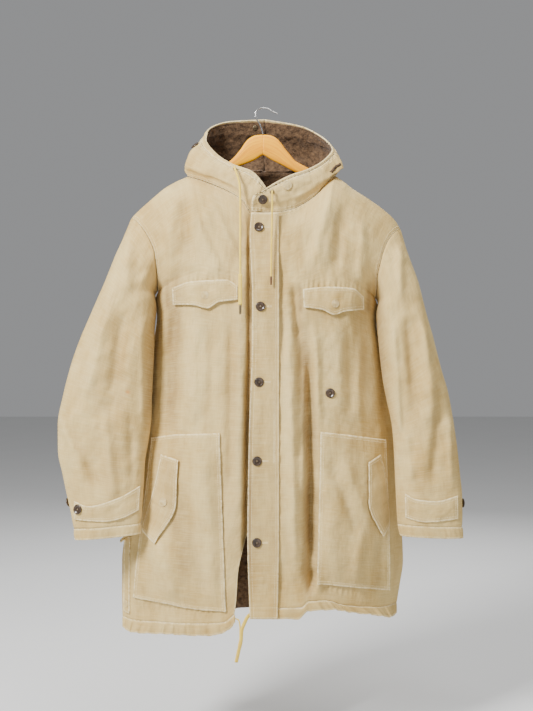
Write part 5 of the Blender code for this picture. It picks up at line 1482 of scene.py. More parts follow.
def button_material(name, colour, roughness):
    """Polished horn-like plastic with faint streaks."""
    s = Shader(name)
    place = s.place()
    streak = s.noise(s.stretched(place, (160, 160, 40)), 1.0, 3.0, 0.6)
    worn = s.noise(place, 240.0, 3.0, 0.6)
    light = tuple(min(1, 2.6 * part + 0.01) for part in colour[:3]) + (1,)
    s.shine(worn, roughness * 0.7, roughness * 1.6)
    return s.finish(s.mix(s.ramp(streak, 0.40, 0.75), colour, light), s.bump(worn, 0.08, 0.0004))


def metal_material(name, colour, roughness):
    """Metal with dull spots."""
    s = Shader(name)
    dull = s.noise(s.place(), 300.0, 4.0, 0.65)
    dark = tuple(0.45 * part for part in colour[:3]) + (1,)
    s.shine(dull, roughness * 0.6, roughness * 1.7)
    return s.finish(s.mix(s.ramp(dull, 0.35, 0.75), colour, dark), Metallic=1.0)


def wood_material():
    """Varnished orange hardwood, with its grain along each arm of the hanger."""
    s = Shader("hanger_varnished")
    grain_map = s.cloth_map()
    grain = s.noise(s.stretched(grain_map, (7, 330, 1)), 1.0, 6.0, 0.65)
    broad = s.noise(s.stretched(grain_map, (3, 60, 1)), 1.0, 3.0, 0.5)
    pores = s.noise(s.stretched(grain_map, (60, 1300, 1)), 1.0, 3.0, 0.7)
    colour = s.mix(s.ramp(grain, 0.35, 0.72), WOOD_LIGHT, WOOD_DARK)
    colour = s.tint(colour, broad, 0.35, 0.7, 0.5, WOOD_LIGHT)
    colour = s.tint(colour, pores, 0.55, 0.75, 0.4, WOOD_DARK)
    return s.finish(colour, s.bump(grain, 0.12, 0.0006), Roughness=0.5, Specular_IOR_Level=0.2,
                    Coat_Weight=0.08, Coat_Roughness=0.15)


def floor_material():
    """A plain pale floor with a faint cloudiness."""
    s = Shader("floor_pale")
    cloud = s.noise(s.place(), 3.0, 3.0, 0.5)
    dark = tuple(0.96 * part for part in FLOOR_PALE[:3]) + (1,)
    return s.finish(s.mix(cloud, FLOOR_PALE, dark), Roughness=0.9)


def skin(*shells):
    """The outer faces of some shells, each a grid with its normals, to lay other pieces on."""
    points = []
    faces = []
    for grid, normal in shells:
        start = len(points)
        rows, columns = grid.shape[:2]
        points += grid.reshape(-1, 3).tolist()
        r, k = np.meshgrid(np.arange(rows - 1), np.arange(columns - 1), indexing="ij")
        a = (start + r * columns + k).reshape(-1)
        d = a + columns
        cells = np.concatenate([np.stack([a, a + 1, d + 1], axis=1), np.stack([a, d + 1, d], axis=1)])
        cross = np.cross(grid[:-1, 1:] - grid[:-1, :-1], grid[1:, :-1] - grid[:-1, :-1])
        if (cross * normal[:-1, :-1]).sum() < 0:
            cells = cells[:, ::-1]
        faces += cells.tolist()
    return BVHTree.FromPolygons(points, faces)


def around(shell):
    """A ring's shell with its first column again at the end, so that its skin is closed."""
    return tuple(np.concatenate([part, part[:, :1]], axis=1) for part in shell)


def lie_on(surface, flat, rise):
    """A flat grid of X and Z laid in front of the surface, then eased so that it doesn't pucker."""
    rows, columns = flat.shape[:2]
    laid = np.zeros((rows, columns, 3))
    under = np.zeros((rows, columns))
    for row in range(rows):
        for column in range(columns):
            x, z = flat[row, column]
            place, normal = front_of(surface, x, z)
            under[row, column] = place.y
            laid[row, column] = (x, place.y - rise[row, column] / max(-normal.y, 0.5), z)
    depth = laid[:, :, 1]
    for _ in range(12):
        wide = np.pad(depth, 1, mode="edge")
        middle = (wide[:-2, 1:-1] + wide[2:, 1:-1] + wide[1:-1, :-2] + wide[1:-1, 2:]) / 4
        depth = 0.5 * depth + 0.5 * middle
    laid[:, :, 1] = np.minimum(depth, under - LIFT)
    return laid


def fine_patch(patch, times=8):
    """The flat grid of a flap or a pocket, finer than the solid's, and how far it stands out."""
    across = np.linspace(0, 1, (patch.columns - 1) * times + 1)
    down = np.linspace(0, 1, (patch.rows - 1) * times + 1)
    top = along([(x, 0, z) for x, z in patch.top], across)
    bottom = along([(x, 0, z) for x, z in patch.bottom], across)
    grid = top[None] + (bottom - top)[None] * down[:, None, None]
    full = np.sin(np.pi * across)[None, :] ** 0.6 * np.sin(np.pi * down)[:, None] ** 0.6
    rise = LIFT + patch.belly * full + patch.lip * ease(down)[:, None]
    return grid[:, :, (0, 2)], rise, across, down


def dress(piece, node):
    """The piece stands for a solid, which is hidden, and rides on the one body."""
    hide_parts(node)
    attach(piece, "root")
    return piece


def hang(piece, node):
    """A shell of cloth stands for a solid."""
    dress(piece, node)


def round_piece(name, profile, place, normal, material, sides=32):
    """A turned piece from radius and height, set on a place square to a surface."""
    angles = np.linspace(0, 2 * math.pi, sides, endpoint=False)
    rings = [[(r * math.cos(a), r * math.sin(a), h) for a in angles] for r, h in profile]
    points = [point for ring in rings for point in ring]
    faces = []
    for step in range(len(profile) - 1):
        for side in range(sides):
            after = (side + 1) % sides
            low, high = step * sides, (step + 1) * sides
            faces.append((low + side, low + after, high + after, high + side))
    faces.append(tuple(range(sides))[::-1])
    top = (len(profile) - 1) * sides
    faces.append(tuple(top + side for side in range(sides)))
    mesh = smooth_mesh(name, points, faces)
    turn = Vector((0, 0, 1)).rotation_difference(Vector(normal)).to_matrix().to_4x4()
    turn.translation = Vector(place)
    mesh.transform(turn)
    mesh.update()
    return new_object(name, mesh, material)


def joined(name, pieces):
    """Several pieces as one object, each keeping its own material."""
    for piece in bpy.context.selected_objects:
        piece.select_set(False)
    for piece in pieces:
        piece.select_set(True)
    bpy.context.view_layer.objects.active = pieces[0]
    bpy.ops.object.join()
    pieces[0].name = name
    pieces[0].select_set(False)
    return pieces[0]


def sewn_button(name, place, normal, width, materials):
    """A four-hole button with a raised rim, its holes as near-black discs of painted shade, and its crossed
    thread.
    """
    radius = width / 2
    h = BUTTON_HEIGHT
    profile = (
        (radius * 0.55, 0),
        (radius * 0.90, h * 0.10),
        (radius, h * 0.45),
        (radius * 0.97, h * 0.80),
        (radius * 0.86, h),
        (radius * 0.74, h * 0.90),
        (radius * 0.62, h * 0.62),
        (radius * 0.45, h * 0.55),
    )
    place, normal = Vector(place), Vector(normal)
    body = round_piece(name, profile, place, normal, materials["button"])
    parts = [body]
    side = normal.orthogonal().normalized()
    up = normal.cross(side)
    across = (side * math.cos(0.6) + up * math.sin(0.6)).normalized()
    for turn in range(4):
        spot = across * radius * 0.22
        across = normal.cross(across)
        # Each hole is a thin near-black disc on the button's face: painted shade where the hole is
        hole = ((radius * 0.095, 0), (radius * 0.095, 0.00025))
        at = place + spot + normal * h * 0.56
        parts.append(round_piece(f"{name}_hole_{turn}", hole, at, normal, materials["hole"], 10))
        if turn < 2:
            bar = bpy.data.curves.new(f"{name}_thread_{turn}", "CURVE")
            bar.dimensions = "3D"
            bar.bevel_depth = 0.00042
            bar.bevel_resolution = 2
            bar.use_fill_caps = True
            line = bar.splines.new("POLY")
            line.points.add(2)
            rise = normal * (h * 0.60)
            for point, share in zip(line.points, (-1, 0, 1)):
                lift = normal * 0.0003 * (1 - abs(share))
                point.co = (*(place + spot * share + rise + lift), 1)
            parts.append(as_mesh(new_object(f"{name}_thread_{turn}", bar, materials["thread"])))
    return joined(name, parts)


def as_mesh(obj):
    """A curve turned into a mesh object, named after the curve with _mesh added."""
    graph = bpy.context.evaluated_depsgraph_get()
    mesh = bpy.data.meshes.new_from_object(obj.evaluated_get(graph))
    made = new_object(obj.name + "_mesh", mesh)
    bpy.data.objects.remove(obj)
    return made


def snap_cap(name, place, normal, width, material):
    """A press stud's cap under the cloth: a low dome with a pressed ring."""
    radius = width / 2
    profile = (
        (radius, 0),
        (radius * 0.97, 0.0010),
        (radius * 0.86, 0.0017),
        (radius * 0.76, 0.0012),
        (radius * 0.66, 0.0013),
        (radius * 0.40, 0.0021),
        (radius * 0.12, 0.0023),
    )
    return round_piece(name, profile, place, normal, material, 28)


def seat_of(node, toward):
    """Where a turned solid sits: the middle of its base, and the way it faces."""
    place = points_of(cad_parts[node].data)
    axis = np.linalg.svd(place - place.mean(axis=0))[2][2]
    if axis @ np.array(toward) < 0:
        axis = -axis
    height = place @ axis
    base = place[height < height.min() + 0.0002]
    return base.mean(axis=0), axis


def curve_tube(name, points, width, material):
    """A round cord through these points, as a curve."""
    curve = bpy.data.curves.new(name, "CURVE")
    curve.dimensions = "3D"
    curve.bevel_depth = width / 2
    curve.bevel_resolution = 4
    curve.use_fill_caps = True
    spline = curve.splines.new("POLY")
    spline.points.add(len(points) - 1)
    for point, place in zip(spline.points, points):
        point.co = (*place, 1)
    return new_object(name, curve, material)


def tape(name, line, width, thickness, material):
    """A flat braided tape along a line, with rounded edges."""
    tangent = unit(np.gradient(line, axis=0))
    side = carried_sides(tangent, (1, 0.01, 0))
    front = np.cross(side, tangent)
    turn = np.linspace(0, 2 * math.pi, 20, endpoint=False)
    ring = (
        line[:, None]
        + side[:, None] * (np.cos(turn) * width / 2)[None, :, None]
        + front[:, None] * (np.sin(turn) * thickness / 2)[None, :, None]
    )
    return capped(name, ring, material)


def capped(name, rings, material):
    """A closed solid through rings of points, with a map in metres along and round it."""
    rows, columns = rings.shape[:2]
    points = np.concatenate([rings.reshape(-1, 3), rings[:1].mean(axis=1), rings[-1:].mean(axis=1)])
    faces = []
    for row in range(rows - 1):
        for column in range(columns):
            after = (column + 1) % columns
            a, b = row * columns + column, row * columns + after
            faces.append((a, b, b + columns, a + columns))
    first, last = len(points) - 2, len(points) - 1
    end = (rows - 1) * columns
    for column in range(columns):
        after = (column + 1) % columns
        faces += [(first, after, column), (last, end + column, end + after)]
    mesh = smooth_mesh(name, points.tolist(), faces)
    volume = 0.0
    for face in faces:
        a, b, c = (points[i] for i in face[:3])
        volume += a @ np.cross(b, c)
        if len(face) == 4:
            volume += a @ np.cross(c, points[face[3]])
    if volume < 0:
        mesh.flip_normals()
        mesh.update()
    length = length_along(rings.mean(axis=1))
    round_it = np.linalg.norm(rings[:, 1:] - rings[:, :-1], axis=2).sum(axis=1).mean() / columns
    index = np.arange(len(points))
    row = np.minimum(index // columns, rows - 1)
    set_map(mesh, np.stack([length[row], (index % columns) * round_it], axis=1))
    return new_object(name, mesh, material)


def shell(name, outer, material, rub=None, seams=(), ring=False, facing=None, thickness=CLOTH):
    """A panel's shell, dressed as the solid of the same name. Its outer grid and normals come back."""
    if facing is None:
        facing = outer - outer.mean(axis=1, keepdims=True)
    normal = grid_normals(outer, ring, facing)
    outer = sink(outer, normal, seams)
    if rub is None:
        rub = np.zeros(outer.shape[:2])
    made, normal = wall_mesh(name + "_cloth", outer, thickness, ring, facing)
    made.data.materials.append(material)
    paint(made, rub)
    hang(made, name)
    return outer, normal


def sew_edges(stitches, outer, normal, edges, insets, ring=False):
    """Rows of stitches at these distances inside the named edges of a panel."""
    pair = around((outer, normal)) if ring else (outer, normal)
    surface = skin(pair)
    for edge in edges:
        for inset in insets:
            stitches.sew(inset_line(pair[0], edge, inset), surface)


def neck_line(side, back):
    """The fine points of the neck seam of one half, from its collar end to the back's middle."""
    first = (len(SHOULDER_STEPS) - 1) * FINE
    middle = first + len(BACK_NECK_STEPS) // 2 * FINE
    last = first + (len(BACK_NECK_STEPS) - 1) * FINE
    part = slice(first, middle + 1) if side == "left" else slice(last, middle - 1, -1)
    front = np.concatenate([along(NECK[side], NECK_FINE), xyz(SHOULDER[side][:1])])
    ends = xyz(COLLAR_END[side])
    start = np.concatenate([ends, front[:1]])
    lead = [start[i] + (start[i + 1] - start[i]) * k / FINE for i in range(2) for k in range(FINE)]
    return np.concatenate([np.array(lead), front, back[-1, part][1:]])


def hood_grid(side, ring):
    """The fine outer grid of one half of the hood, with its soft dents and its puckered rim."""
    levels = finer(HOOD_LEVELS + RIM_LEVELS[1:])
    grid = hood_half(side, ring, levels)
    normal = grid_normals(grid, False, grid - xyz([HOOD_MIDDLE]))
    up = levels[:, None]
    distance = edge_distance(grid)
    run = distance["first"]
    calm = ease(up / 0.12) * ease(distance["last"] / 0.02) * ease(distance["first"] / 0.012)
    seed = 51 if side == "left" else 52
    dent = 0.0022 * crumple(run, grid[:, :, 2], 0.055, seed)
    dent += 0.0011 * crumple(run, grid[:, :, 2], 0.024, seed + 2)
    tunnel = np.sin(np.clip((up - 0.90) / 0.10, 0, 1) * math.pi)
    gather = np.sin(run * 2 * math.pi / 0.0085 + 1.5 * np.sin(run * 55 + seed))
    dent = dent * (1 - ease((up - 0.86) / 0.05)) + tunnel * (0.0020 + 0.0010 * gather)
    dent = dent + 0.0011 * gather * np.exp(-(((up - 0.88) / 0.02) ** 2))
    return grid + normal * (dent * calm)[:, :, None], normal


def pile_shell(name, near, way, thickness, seed, material):
    """A wool lining on the inside of a panel, its face in lumps and folds."""
    distance = edge_distance(near)
    run, climb = distance["first"], distance["start"]
    lump = 0.5 + 0.5 * crumple(run, climb, 0.028, seed)
    fold = 0.5 + 0.5 * crumple(run, climb * 0.35, 0.060, seed + 3)
    edge = distance["end"]
    thick = thickness * (0.35 + 0.65 * ease(edge / 0.010))
    thick = thick + (0.0030 * lump + 0.0050 * fold) * ease(edge / 0.030) * ease(
        (distance["first"] + 0.004) / 0.012
    )
    far = near + way * thick[:, :, None]
    made, normal = wall_mesh(name + "_pile", far, thickness, False, far - near)
    made.data.materials.append(material)
    hang(made, name)
    return far, normal


def placket_grid(surface):
    """The strip over the middle, laid in front of whatever stands out most behind each row."""
    down = np.linspace(0, 1, (PLACKET_ROWS - 1) * FINE + 1)
    left = along(PLACKET_LEFT, down)
    right = along(PLACKET_RIGHT, down)
    right[:, 2] = left[:, 2]
    across = np.linspace(0, 1, 25)
    grid = left[:, None] + (right - left)[:, None] * across[None, :, None]
    depth = []
    for start, end in zip(left, right):
        spots = np.linspace(start[0] + 0.001, end[0], 9)
        depth.append(min(front_of(surface, x, start[2])[0].y for x in spots))
    depth = np.array(depth)
    wide = np.pad(depth, 6, mode="edge")
    depth = np.min([wide[i : i + len(depth)] for i in range(13)], axis=0)
    wide = np.pad(depth, 6, mode="edge")
    depth = np.mean([wide[i : i + len(depth)] for i in range(13)], axis=0)
    x, z = grid[:, :, 0], grid[:, :, 2]
    soft = 0.0006 * crumple(x * 1.4, z, 0.055, 61) + 0.0004 * crumple(x, z, 0.02, 62)
    grid[:, :, 1] = depth[:, None] - LIFT - CLOTH + soft
    for button in PLACKET_BUTTONS:
        near = np.exp(-(((x - button.x - 0.006) / 0.015) ** 2) - ((z - button.z) / 0.010) ** 2)
        grid[:, :, 1] += 0.0009 * near
    distance = edge_distance(grid)
    groove = np.exp(-(((distance["last"] - 0.0045) / 0.0012) ** 2))
    groove = groove + 0.7 * np.exp(-(((distance["first"] - 0.0075) / 0.0012) ** 2))
    grid[:, :, 1] += 0.0007 * groove
    grid[:, :, 1] -= edge_puckers(grid, ("first", "last"), 0.0004, 0.007, 0.0060, 63)
    return grid


def lay(patch, surface, material, stitches, insets, seams=("start",), seed=1, pucker=0.0005):
    """One flap, pocket or tab, laid on a surface with its edges puckered, rubbed and sewn."""
    flat, rise, _, _ = fine_patch(patch)
    under = lie_on(surface, flat, rise)
    over = under.copy()
    over[:, :, 1] -= CLOTH
    over[:, :, 1] -= np.abs(edge_puckers(over, ("first", "last", "end"), pucker, 0.006, 0.0062, seed))
    bend = 0.0008 * crumple(over[:, :, 0], over[:, :, 2], 0.040, seed + 9)
    bend += 0.0005 * crumple(over[:, :, 0], over[:, :, 2], 0.017, seed + 12)
    over[:, :, 1] -= np.abs(bend)
    rub = edge_rub(over, ALL_EDGES, 0.0032, 1.0)
    outer, normal = shell(patch.name, over, material, rub, seams, False, FORWARD)
    sew_edges(stitches, outer, normal, ALL_EDGES, insets)
    return outer, normal


def ring_piece(name, place, normal, inner, outer_radius, height, material):
    """A rounded metal ring on a surface."""
    turn = np.linspace(0, 2 * math.pi, 28, endpoint=False)
    wheel = np.linspace(0, 2 * math.pi, 10, endpoint=False)
    normal = np.array(normal)
    side = np.array(Vector(normal).orthogonal().normalized())
    up = np.cross(normal, side)
    middle = (inner + outer_radius) / 2
    half = (outer_radius - inner) / 2
    reach = middle + half * np.cos(wheel)
    rise = height / 2 * (1 + np.sin(wheel))
    spokes = side * np.cos(turn)[:, None] + up * np.sin(turn)[:, None]
    points = (
        np.array(place)
        + spokes[:, None] * reach[None, :, None]
        + normal * rise[None, :, None]
    )
    columns = len(wheel)
    faces = []
    for row in range(len(turn)):
        for column in range(columns):
            a = row * columns + column
            b = row * columns + (column + 1) % columns
            c = (row + 1) % len(turn) * columns
            faces.append((a, b, c + (column + 1) % columns, c + column))
    mesh = smooth_mesh(name, points.reshape(-1, 3).tolist(), faces)
    return new_object(name, mesh, material)


def cord_route(eyelet, path, count):
    """The points of a hood cord: straight out of its eyelet, then down its path."""
    base, normal = seat_of(eyelet, (0, -1, 0))
    place = base - normal * 0.0008
    out = [tuple(place + normal * distance) for distance in (0.0016, 0.0035, 0.0055, 0.0075)]
    return along(out + [tuple(point) for point in path], np.linspace(0, 1, count))


def build_cords():
    """The four cords, with their folded end and their tips."""
    cord = cord_material("cord_yellow", CORD_YELLOW, CORD_WORN, 900.0)
    tip = button_material("aglet_brown", AGLET_BROWN, 0.35)
    metal = metal_material("aglet_metal", BRASS, 0.35)
    line = cord_route("hood_cord_left_eyelet", HOOD_CORD_LEFT, 34)
    left = curve_tube("cord_hood_left", line, HOOD_CORD, cord)
    dress(left, "hood_cord_left")
    end = HOOD_CORD_LEFT[-1]
    levels = np.linspace(end.z, end.z - FOLD_LENGTH, 24)
    turn = np.linspace(0, 2 * math.pi, 28, endpoint=False)
    swell = 1 + 0.05 * np.sin(levels * 900)
    waist = 0.5 * (1 + 0.12 * np.cos(2 * turn))
    rings = np.stack(
        [
            end.x + np.cos(turn)[None] * waist * FOLD_WIDTH * swell[:, None],
            end.y - 0.0005 + np.sin(turn)[None] * waist * FOLD_DEPTH * swell[:, None],
            np.repeat(levels[:, None], len(turn), axis=1),
        ],
        axis=-1,
    )
    fold = dress(capped("cord_hood_left_fold", rings, cord), "hood_cord_left_fold")
    aglet = tip_piece("cord_hood_left_tip", (end.x, end.y - 0.001, levels[-1]), 0.0056, 0.020, metal)
    dress(aglet, "hood_cord_left_aglet")
    line = cord_route("hood_cord_right_eyelet", HOOD_CORD_RIGHT, 30)
    right = dress(curve_tube("cord_hood_right", line, THIN_CORD, cord), "hood_cord_right")
    end = HOOD_CORD_RIGHT[-1]
    aglet = tip_piece("cord_hood_right_tip", (end.x, end.y, end.z - 0.0004), 0.0046, 0.018, tip)
    dress(aglet, "hood_cord_right_aglet")
    line = along(HEM_CORD_RIGHT, np.linspace(0, 1, 40))
    braid = cord_material("cord_orange", CORD_YELLOW, CORD_WORN, 700.0)
    flat = dress(tape("cord_hem_right", line, HEM_CORD, HEM_CORD_THICK, braid), "hem_cord_right")
    line = along(HEM_CORD_LEFT, np.linspace(0, 1, 20))
    thin = dress(curve_tube("cord_hem_left", line, HEM_STRAND, braid), "hem_cord_left")


def tip_piece(name, top, width, length, material):
    """A cord's tip, pressed thinner towards its end."""
    turn = np.linspace(0, 2 * math.pi, 24, endpoint=False)
    profile = ((0.90, 0), (1.0, 0.05), (0.98, 0.30), (0.86, 0.60), (0.80, 0.90), (0.62, 1.0))
    rings = np.array(
        [
            [
                (
                    top[0] + math.cos(a) * width / 2 * share,
                    top[1] + math.sin(a) * width / 2 * share,
                    top[2] - down * length,
                )
                for a in turn
            ]
            for share, down in profile
        ]
    )
    return capped(name, rings, material)


def build_hanger():
    """The wooden yoke, smooth and with its middle joint, and the bright wire hook."""
    wood = wood_material()
    steel = metal_material("hook_plated", STEEL, 0.22)
    sticks = np.array(WOOD)
    left, right = sticks[0, 0], sticks[-1, 0]
    x = np.concatenate([np.linspace(left, YOKE_MIDDLE, 90), np.linspace(YOKE_MIDDLE, right, 90)])
    x = np.sort(np.concatenate([x, [YOKE_MIDDLE - YOKE_JOINT, YOKE_MIDDLE + YOKE_JOINT]]))
    sizes = smooth(sticks[:, 0], sticks[:, 1:], x)
    turn = np.linspace(0, 2 * math.pi, 28, endpoint=False)
    rings = []
    for place, (top, bottom) in zip(x, sizes):
        joint = 1 - 0.06 * math.exp(-(((place - YOKE_MIDDLE) / YOKE_JOINT) ** 2))
        half = (top - bottom) / 2 * joint
        y = np.sign(np.cos(turn)) * np.abs(np.cos(turn)) ** 0.7 * WOOD_DEPTH / 2 * joint
        z = (top + bottom) / 2 + np.sign(np.sin(turn)) * np.abs(np.sin(turn)) ** 0.8 * half
        rings.append(np.stack([np.full_like(y, place), y, z], axis=1))
    yoke = capped("hanger_yoke", np.array(rings), wood)
    dress(yoke, "hanger_wood")
    line = along(HOOK_WIRE, np.linspace(0, 1, 120))
    tangent = unit(np.gradient(line, axis=0))
    side = carried_sides(tangent, (1, 0.01, 0))
    front = np.cross(side, tangent)
    turn = np.linspace(0, 2 * math.pi, 16, endpoint=False)
    reach = np.full(len(line), WIRE_WIDTH / 2)
    reach[-3:] *= (0.97, 0.85, 0.6)
    rings = (
        line[:, None]
        + side[:, None] * np.cos(turn)[None, :, None] * reach[:, None, None]
        + front[:, None] * np.sin(turn)[None, :, None] * reach[:, None, None]
    )
    dress(capped("hanger_wire", rings, steel), "hanger_hook")


def build_body(cloth, stitches):
    """The fronts, the back, the hems and the sleeves. Their shells come back by name."""
    shells = {}
    fronts = {side: front_panel(side) for side in ("left", "right")}
    back = back_panel()
    arm = len(ARM_FINE)
    shoulder = len(SHOULDER_FINE)
    for side in ("left", "right"):
        grid = fronts[side]
        seed = 71 if side == "left" else 76
        drawn = edge_puckers(grid, ("last", "end"), 0.0010, 0.011, 0.0095, seed)
        calm = ease(np.minimum(edge_distance(grid)["last"], edge_distance(grid)["end"]) / 0.002)
        grid[:, :, 1] -= drawn * calm
        rub = edge_rub(grid, ("first", "end"), 0.0025, 0.75)
        lower = edge_rub(grid, ("last",), 0.0025, 0.7)
        made = shell("front_" + side, grid, cloth, np.maximum(rub, lower), ("last", "end", "start"),
                     False, FORWARD)
        shells["front_" + side] = made
        sew_edges(stitches, *made, ("first",), (0.0018,))
        surface = skin(made)
        for inset in (0.0020, 0.0085):
            stitches.sew(inset_line(made[0], "end", inset)[:-shoulder + 1], surface)
            stitches.sew(inset_line(made[0], "last", inset)[-arm:], surface)
        stitches.sew(inset_line(made[0], "end", 0.0025)[-shoulder:], surface)
        share = (grid[0, :, 0] - grid[0, 0, 0]) / (grid[0, -1, 0] - grid[0, 0, 0])
        band = hem_band(fronts[side][0].copy(), along(HEM_EDGE[side], share), HEM_GATHERS * 1.7, -1)
        rub = edge_rub(band, ("start", "end"), 0.0022, 0.85)
        made = shell("hem_" + side, band, cloth, rub, ("start",), False, FORWARD)
        shells["hem_" + side] = made
        sew_edges(stitches, *made, ("start",), (0.0030,))
        sew_edges(stitches, *made, ("end",), (0.0035,))
    coarse = back[::2, ::2]
    made = shell("back", coarse, cloth, edge_rub(coarse, ("start",), 0.0025, 0.6),
                 ALL_EDGES, False, -FORWARD)
    shells["back"] = made
    sew_edges(stitches, *made, ("end",), (0.0022, 0.0085))
    row = coarse[0].copy()
    edge = row - np.array([0, 0, BACK_HEM_HEIGHT])
    band = hem_band(row, edge, 2 * HEM_GATHERS * 1.6, 1)
    made = shell("hem_back", band, cloth, edge_rub(band, ("start", "end"), 0.0022, 0.8), ("start",),
                 False, -FORWARD)
    sew_edges(stitches, *made, ("start", "end"), (0.0032,))
    for side in ("left", "right"):
        grid = sleeve_grid(side)
        middle = grid.mean(axis=1, keepdims=True)
        made = shell("sleeve_" + side, grid, cloth, None, ("start", "end"), True, grid - middle)
        shells["sleeve_" + side] = made
        even = np.linspace(0, 1, len(ARM_FINE))
        end = ring_at(CUFF_END[side], even)
        share = np.linspace(0, 1, 2 * FINE + 1)[:, None, None]
        cuff = grid[-1][None] + (end - grid[-1])[None] * share
        out = unit(cuff - cuff.mean(axis=1, keepdims=True))
        run = edge_distance(cuff)["first"]
        gather = np.sin(run * 2 * math.pi / 0.011 + 1.4 * np.sin(run * 37))
        cuff = cuff + out * (np.sin(share * math.pi) * (0.0008 + 0.0005 * gather[:, :, None]))
        rub = edge_rub(cuff, ("start", "end"), 0.0022, 0.85)
        made = shell("cuff_" + side, cuff, cloth, rub, ("start",), True,
                     cuff - cuff.mean(axis=1, keepdims=True), CLOTH * 1.3)
        sew_edges(stitches, *made, ("start",), (0.0028,), True)
        sew_edges(stitches, *made, ("end",), (0.0032,), True)
    return shells, back


def build_hood(shells, back, cloth, pile, stitches):
    """The hood's halves with their rims and their wool linings."""
    split = (len(HOOD_LEVELS) - 1) * FINE
    insides = []
    for number, side in enumerate(("left", "right")):
        grid, normal = hood_grid(side, neck_line(side, back))
        shells["hood_grid_" + side] = (grid, normal)
        facing = grid - xyz([HOOD_MIDDLE])
        low = grid[: split + 1]
        drawn = edge_puckers(low, ("start", "end"), 0.0009, 0.010, 0.0090, 81 + number)
        distance = edge_distance(low)
        calm = ease(np.minimum(distance["start"], distance["end"]) / 0.002)
        calm = calm * ease(distance["last"] / 0.01)
        low = low + normal[: split + 1] * (drawn * calm)[:, :, None]
        rub = edge_rub(low, ("first", "end", "start"), 0.0030, 0.9)
        made = shell("hood_" + side, low, cloth, rub, ("start", "end", "last"), False,
                     facing[: split + 1])
        shells["hood_" + side] = made
        sew_edges(stitches, *made, ("start", "end"), (0.0020, 0.0080))
        sew_edges(stitches, *made, ("last", "first"), (0.0022,))
        rim = grid[split:]
        rub = edge_rub(rim, ("start", "end", "first"), 0.0024, 0.95)
        made = shell("hood_rim_" + side, rim, cloth, rub, ("start", "last"), False, facing[split:],
                     CLOTH * 1.4)
        shells["hood_rim_" + side] = made
        sew_edges(stitches, *made, ("start",), (0.0016,))
        sew_edges(stitches, *made, ("end",), (0.0022,))
        part = (slice(0, -LINING_BELOW), slice(LINING_IN * FINE, None))
        near = (grid - normal * (CLOTH * 1.4 + LIFT))[part]
        way = -normal[part]
        insides.append(
            pile_shell("hood_lining_" + side, near, way, PILE, 91 + 10 * number, pile)
        )
    first = len(SHOULDER_STEPS) * FINE
    last = (len(SHOULDER_STEPS) + len(BACK_NECK_STEPS) - 3) * FINE
    normal = grid_normals(back, False, np.array([0, 1.0, 0]))
    near = (back - normal * (CLOTH + LIFT))[::3, first : last + 1 : 3]
    way = -normal[::3, first : last + 1 : 3]
    above = near[-1:] + np.array([0, -0.002, 0.008])
    below = near[:1] - np.array([0, 0.004, 0.9 * BACK_HEM_HEIGHT])
    near = np.concatenate([below, near, above])
    way = np.concatenate([way[:1], way, way[-1:]])
    pile_shell("lining_back", near, way, PILE, 97, pile)
    return insides


def build_pieces(shells, cloth, stitches):
    """The placket, pockets, flaps and tabs. The skins that carry buttons come back."""
    behind = skin(shells["front_left"], shells["front_right"], shells["hem_right"])
    grid = placket_grid(behind)
    rub = edge_rub(grid, ("first", "last", "start", "end"), 0.0022, 0.85)
    distance = edge_distance(grid)
    worn = np.exp(-(((distance["last"] - 0.0115) / 0.0010) ** 2))
    worn = worn * ease((grid[:, :, 2] + 0.80) / 0.05) * ease((-0.56 - grid[:, :, 2]) / 0.05)
    rub = np.maximum(rub, 0.9 * worn)
    made = shell("placket", grid, cloth, rub, (), False, FORWARD)
    shells["placket"] = made
    sew_edges(stitches, *made, ("first",), (0.0018, 0.0085))
    sew_edges(stitches, *made, ("last",), (0.0018, 0.0078))
    sew_edges(stitches, *made, ("end",), (0.0025, 0.0240))
    laid = {side: [shells["front_" + side]] for side in ("left", "right")}
    for number, patch in enumerate(PATCHES):
        pocket = patch.name.startswith("pocket")
        flap = patch.name.startswith("flap")
        insets = (0.0018, 0.0075) if pocket or flap else (0.0016,)
        made = lay(patch, skin(*laid[patch.side]), cloth, stitches, insets, ("start",), 101 + number,
                   0.0013 if pocket else 0.0009)
        laid[patch.side].append(made)
    tabs = {}
    for patch in TABS:
        arm = shells["sleeve_" + patch.side]
        count = len(ARM_FINE)
        arm = skin((arm[0][:, :count], arm[1][:, :count]))
        made = lay(patch, arm, cloth, stitches, (0.0018, 0.0070), (), 131)
        tabs[patch.side] = made
    return laid, tabs


